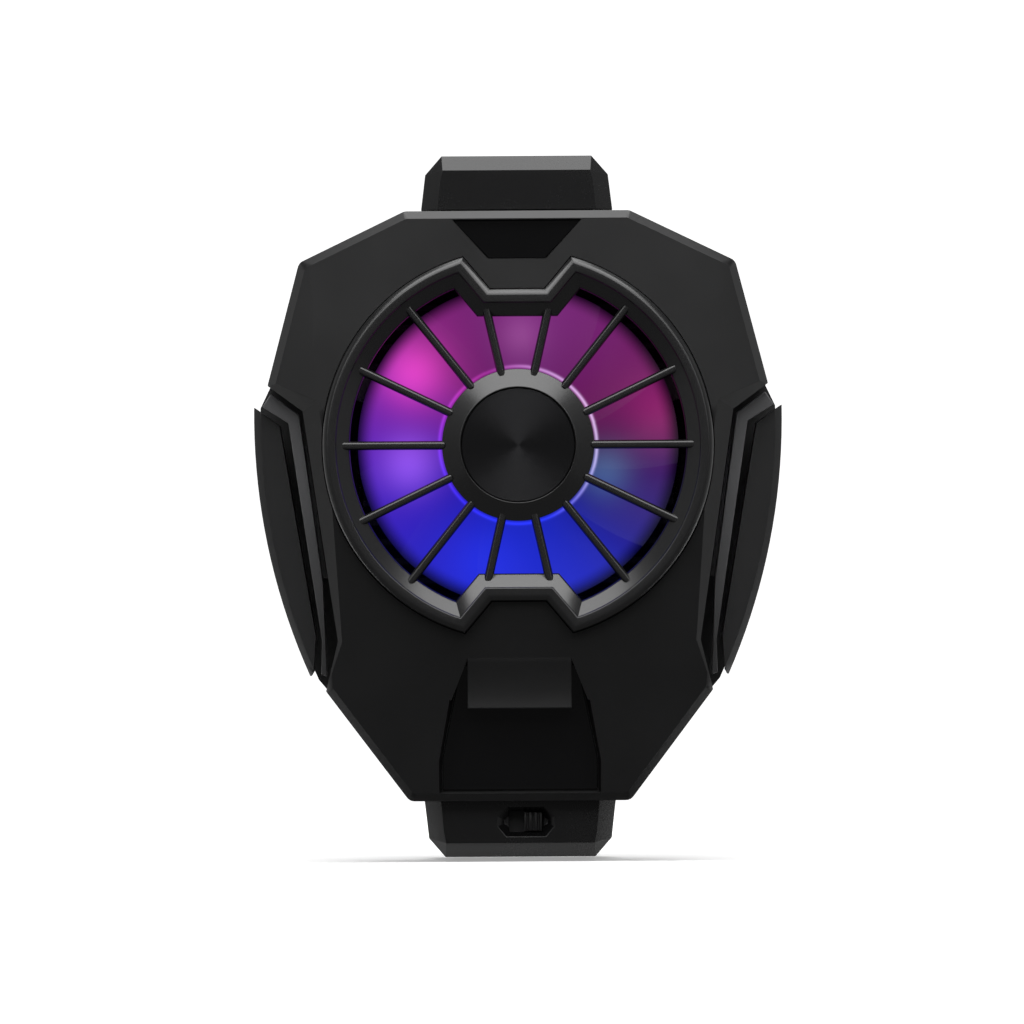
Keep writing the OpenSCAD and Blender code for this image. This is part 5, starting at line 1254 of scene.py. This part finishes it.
class COOLER_OT_stage(bpy.types.Operator):
    """Floor, lights, surroundings and camera"""
    bl_idname = "cooler.stage"
    bl_label = "Studio"

    def execute(self, context):
        s = settings().stage
        scene = context.scene
        middle = (CAD_BOX[0] + CAD_BOX[1]) / 2

        # Table in metres, its front edge under the front of the lower jaw
        level, side, front, rear = CAD_BOX[0].z - 0.5 * MM, 0.12, -0.0165, 0.36
        corners = [(-side, front), (side, front), (side, rear), (-side, rear)]
        bm = bmesh.new()
        bm.faces.new([bm.verts.new((x, y, level)) for x, y in corners])
        paint = pale_paint("table_pale", near=0.32, far=0.75, start=0.02, end=0.3)
        piece("studio_table", bm, paint)

        # Wall round the sides and back, open at the front
        opening, steps, radius, ground, height = math.radians(42), 72, 2.8, -1.2, 1.8
        bearings = [-math.pi / 2 + opening + (TURN - 2 * opening) * i / steps for i in range(steps + 1)]
        bm = bmesh.new()
        rows = [[bm.verts.new((radius * math.cos(a), radius * math.sin(a), z)) for a in bearings]
                for z in (ground, height)]
        for i in range(steps):
            bm.faces.new((rows[0][i], rows[1][i], rows[1][i + 1], rows[0][i + 1]))
        paint = pale_paint("backdrop_pale", near=0.08, far=1.0, start=-1.2, end=2.4)
        piece("studio_backdrop", bm, paint)

        # Place from the middle of the object, width, depth and power
        softboxes = (("top_softbox", (0, 0.09, 0.50), 0.40, 0.40, s.top_light),
                     ("brow_softbox", (0, -0.25, 0.48), 0.78, 0.28, s.brow_light),
                     ("front_softbox", (0, -0.88, 0.54), 1.10, 0.52, s.front_light),
                     ("left_strip", (-0.5, -0.60, 0.25), 0.12, 0.4, s.side_light),
                     ("right_strip", (0.5, -0.60, 0.25), 0.12, 0.4, s.side_light))
        for name, place, width, depth, power in softboxes:
            softbox(name, middle + Vector(place), middle, width, depth, power)

        world = bpy.data.worlds.new("studio_world")
        scene.world = world
        world.use_nodes = True
        back = world.node_tree.nodes["Background"]
        back.inputs["Color"].default_value = WHITE
        back.inputs["Strength"].default_value = s.world

        data = bpy.data.cameras.new("photo_camera")
        data.sensor_width = 36.0
        data.lens = data.sensor_width * s.distance / s.view_width
        data.clip_start, data.clip_end = 0.05, 50.0
        camera = linked("photo_camera", data)
        camera.location = Vector(s.aim) + Vector((0, -s.distance, 0))
        camera.rotation_euler = (math.pi / 2, s.roll, 0)
        scene.camera = camera
        scene.view_settings.view_transform = "Standard"
        return {"FINISHED"}


STEPS = (COOLER_OT_stage, COOLER_OT_shells, COOLER_OT_side_pieces, COOLER_OT_hood, COOLER_OT_guard,
         COOLER_OT_hub_cap, COOLER_OT_jaws, COOLER_OT_springs, COOLER_OT_contact, COOLER_OT_rotor,
         COOLER_OT_lamps, COOLER_OT_screws, COOLER_OT_socket, COOLER_OT_switch, COOLER_OT_inner_parts)


class COOLER_PT_panel(bpy.types.Panel):
    """Settings and steps of the cooler"""
    bl_label = "Phone Cooling Fan"
    bl_idname = "COOLER_PT_panel"
    bl_space_type = "VIEW_3D"
    bl_region_type = "UI"
    bl_category = "Cooler"

    def draw(self, context):
        for step in STEPS:
            self.layout.operator(step.bl_idname)
        cooler = context.scene.cooler
        for group in (cooler.plastic, cooler.guard, cooler.rotor, cooler.glow, cooler.stage):
            box = self.layout.box()
            for key in group.bl_rna.properties.keys():
                if key not in ("name", "rna_type"):
                    box.prop(group, key)


GROUPS = (PlasticSettings, GuardSettings, RotorSettings, GlowSettings, StageSettings, CoolerSettings)
CLASSES = GROUPS + STEPS + (COOLER_PT_panel,)


def register():
    for cls in CLASSES:
        bpy.utils.register_class(cls)
    bpy.types.Scene.cooler = bpy.props.PointerProperty(type=CoolerSettings)


def unregister():
    del bpy.types.Scene.cooler
    for cls in reversed(CLASSES):
        bpy.utils.unregister_class(cls)


def main():
    register()
    for step in STEPS:
        group, name = step.bl_idname.split(".")
        getattr(getattr(bpy.ops, group), name)()


if __name__ == "__main__":
    main()
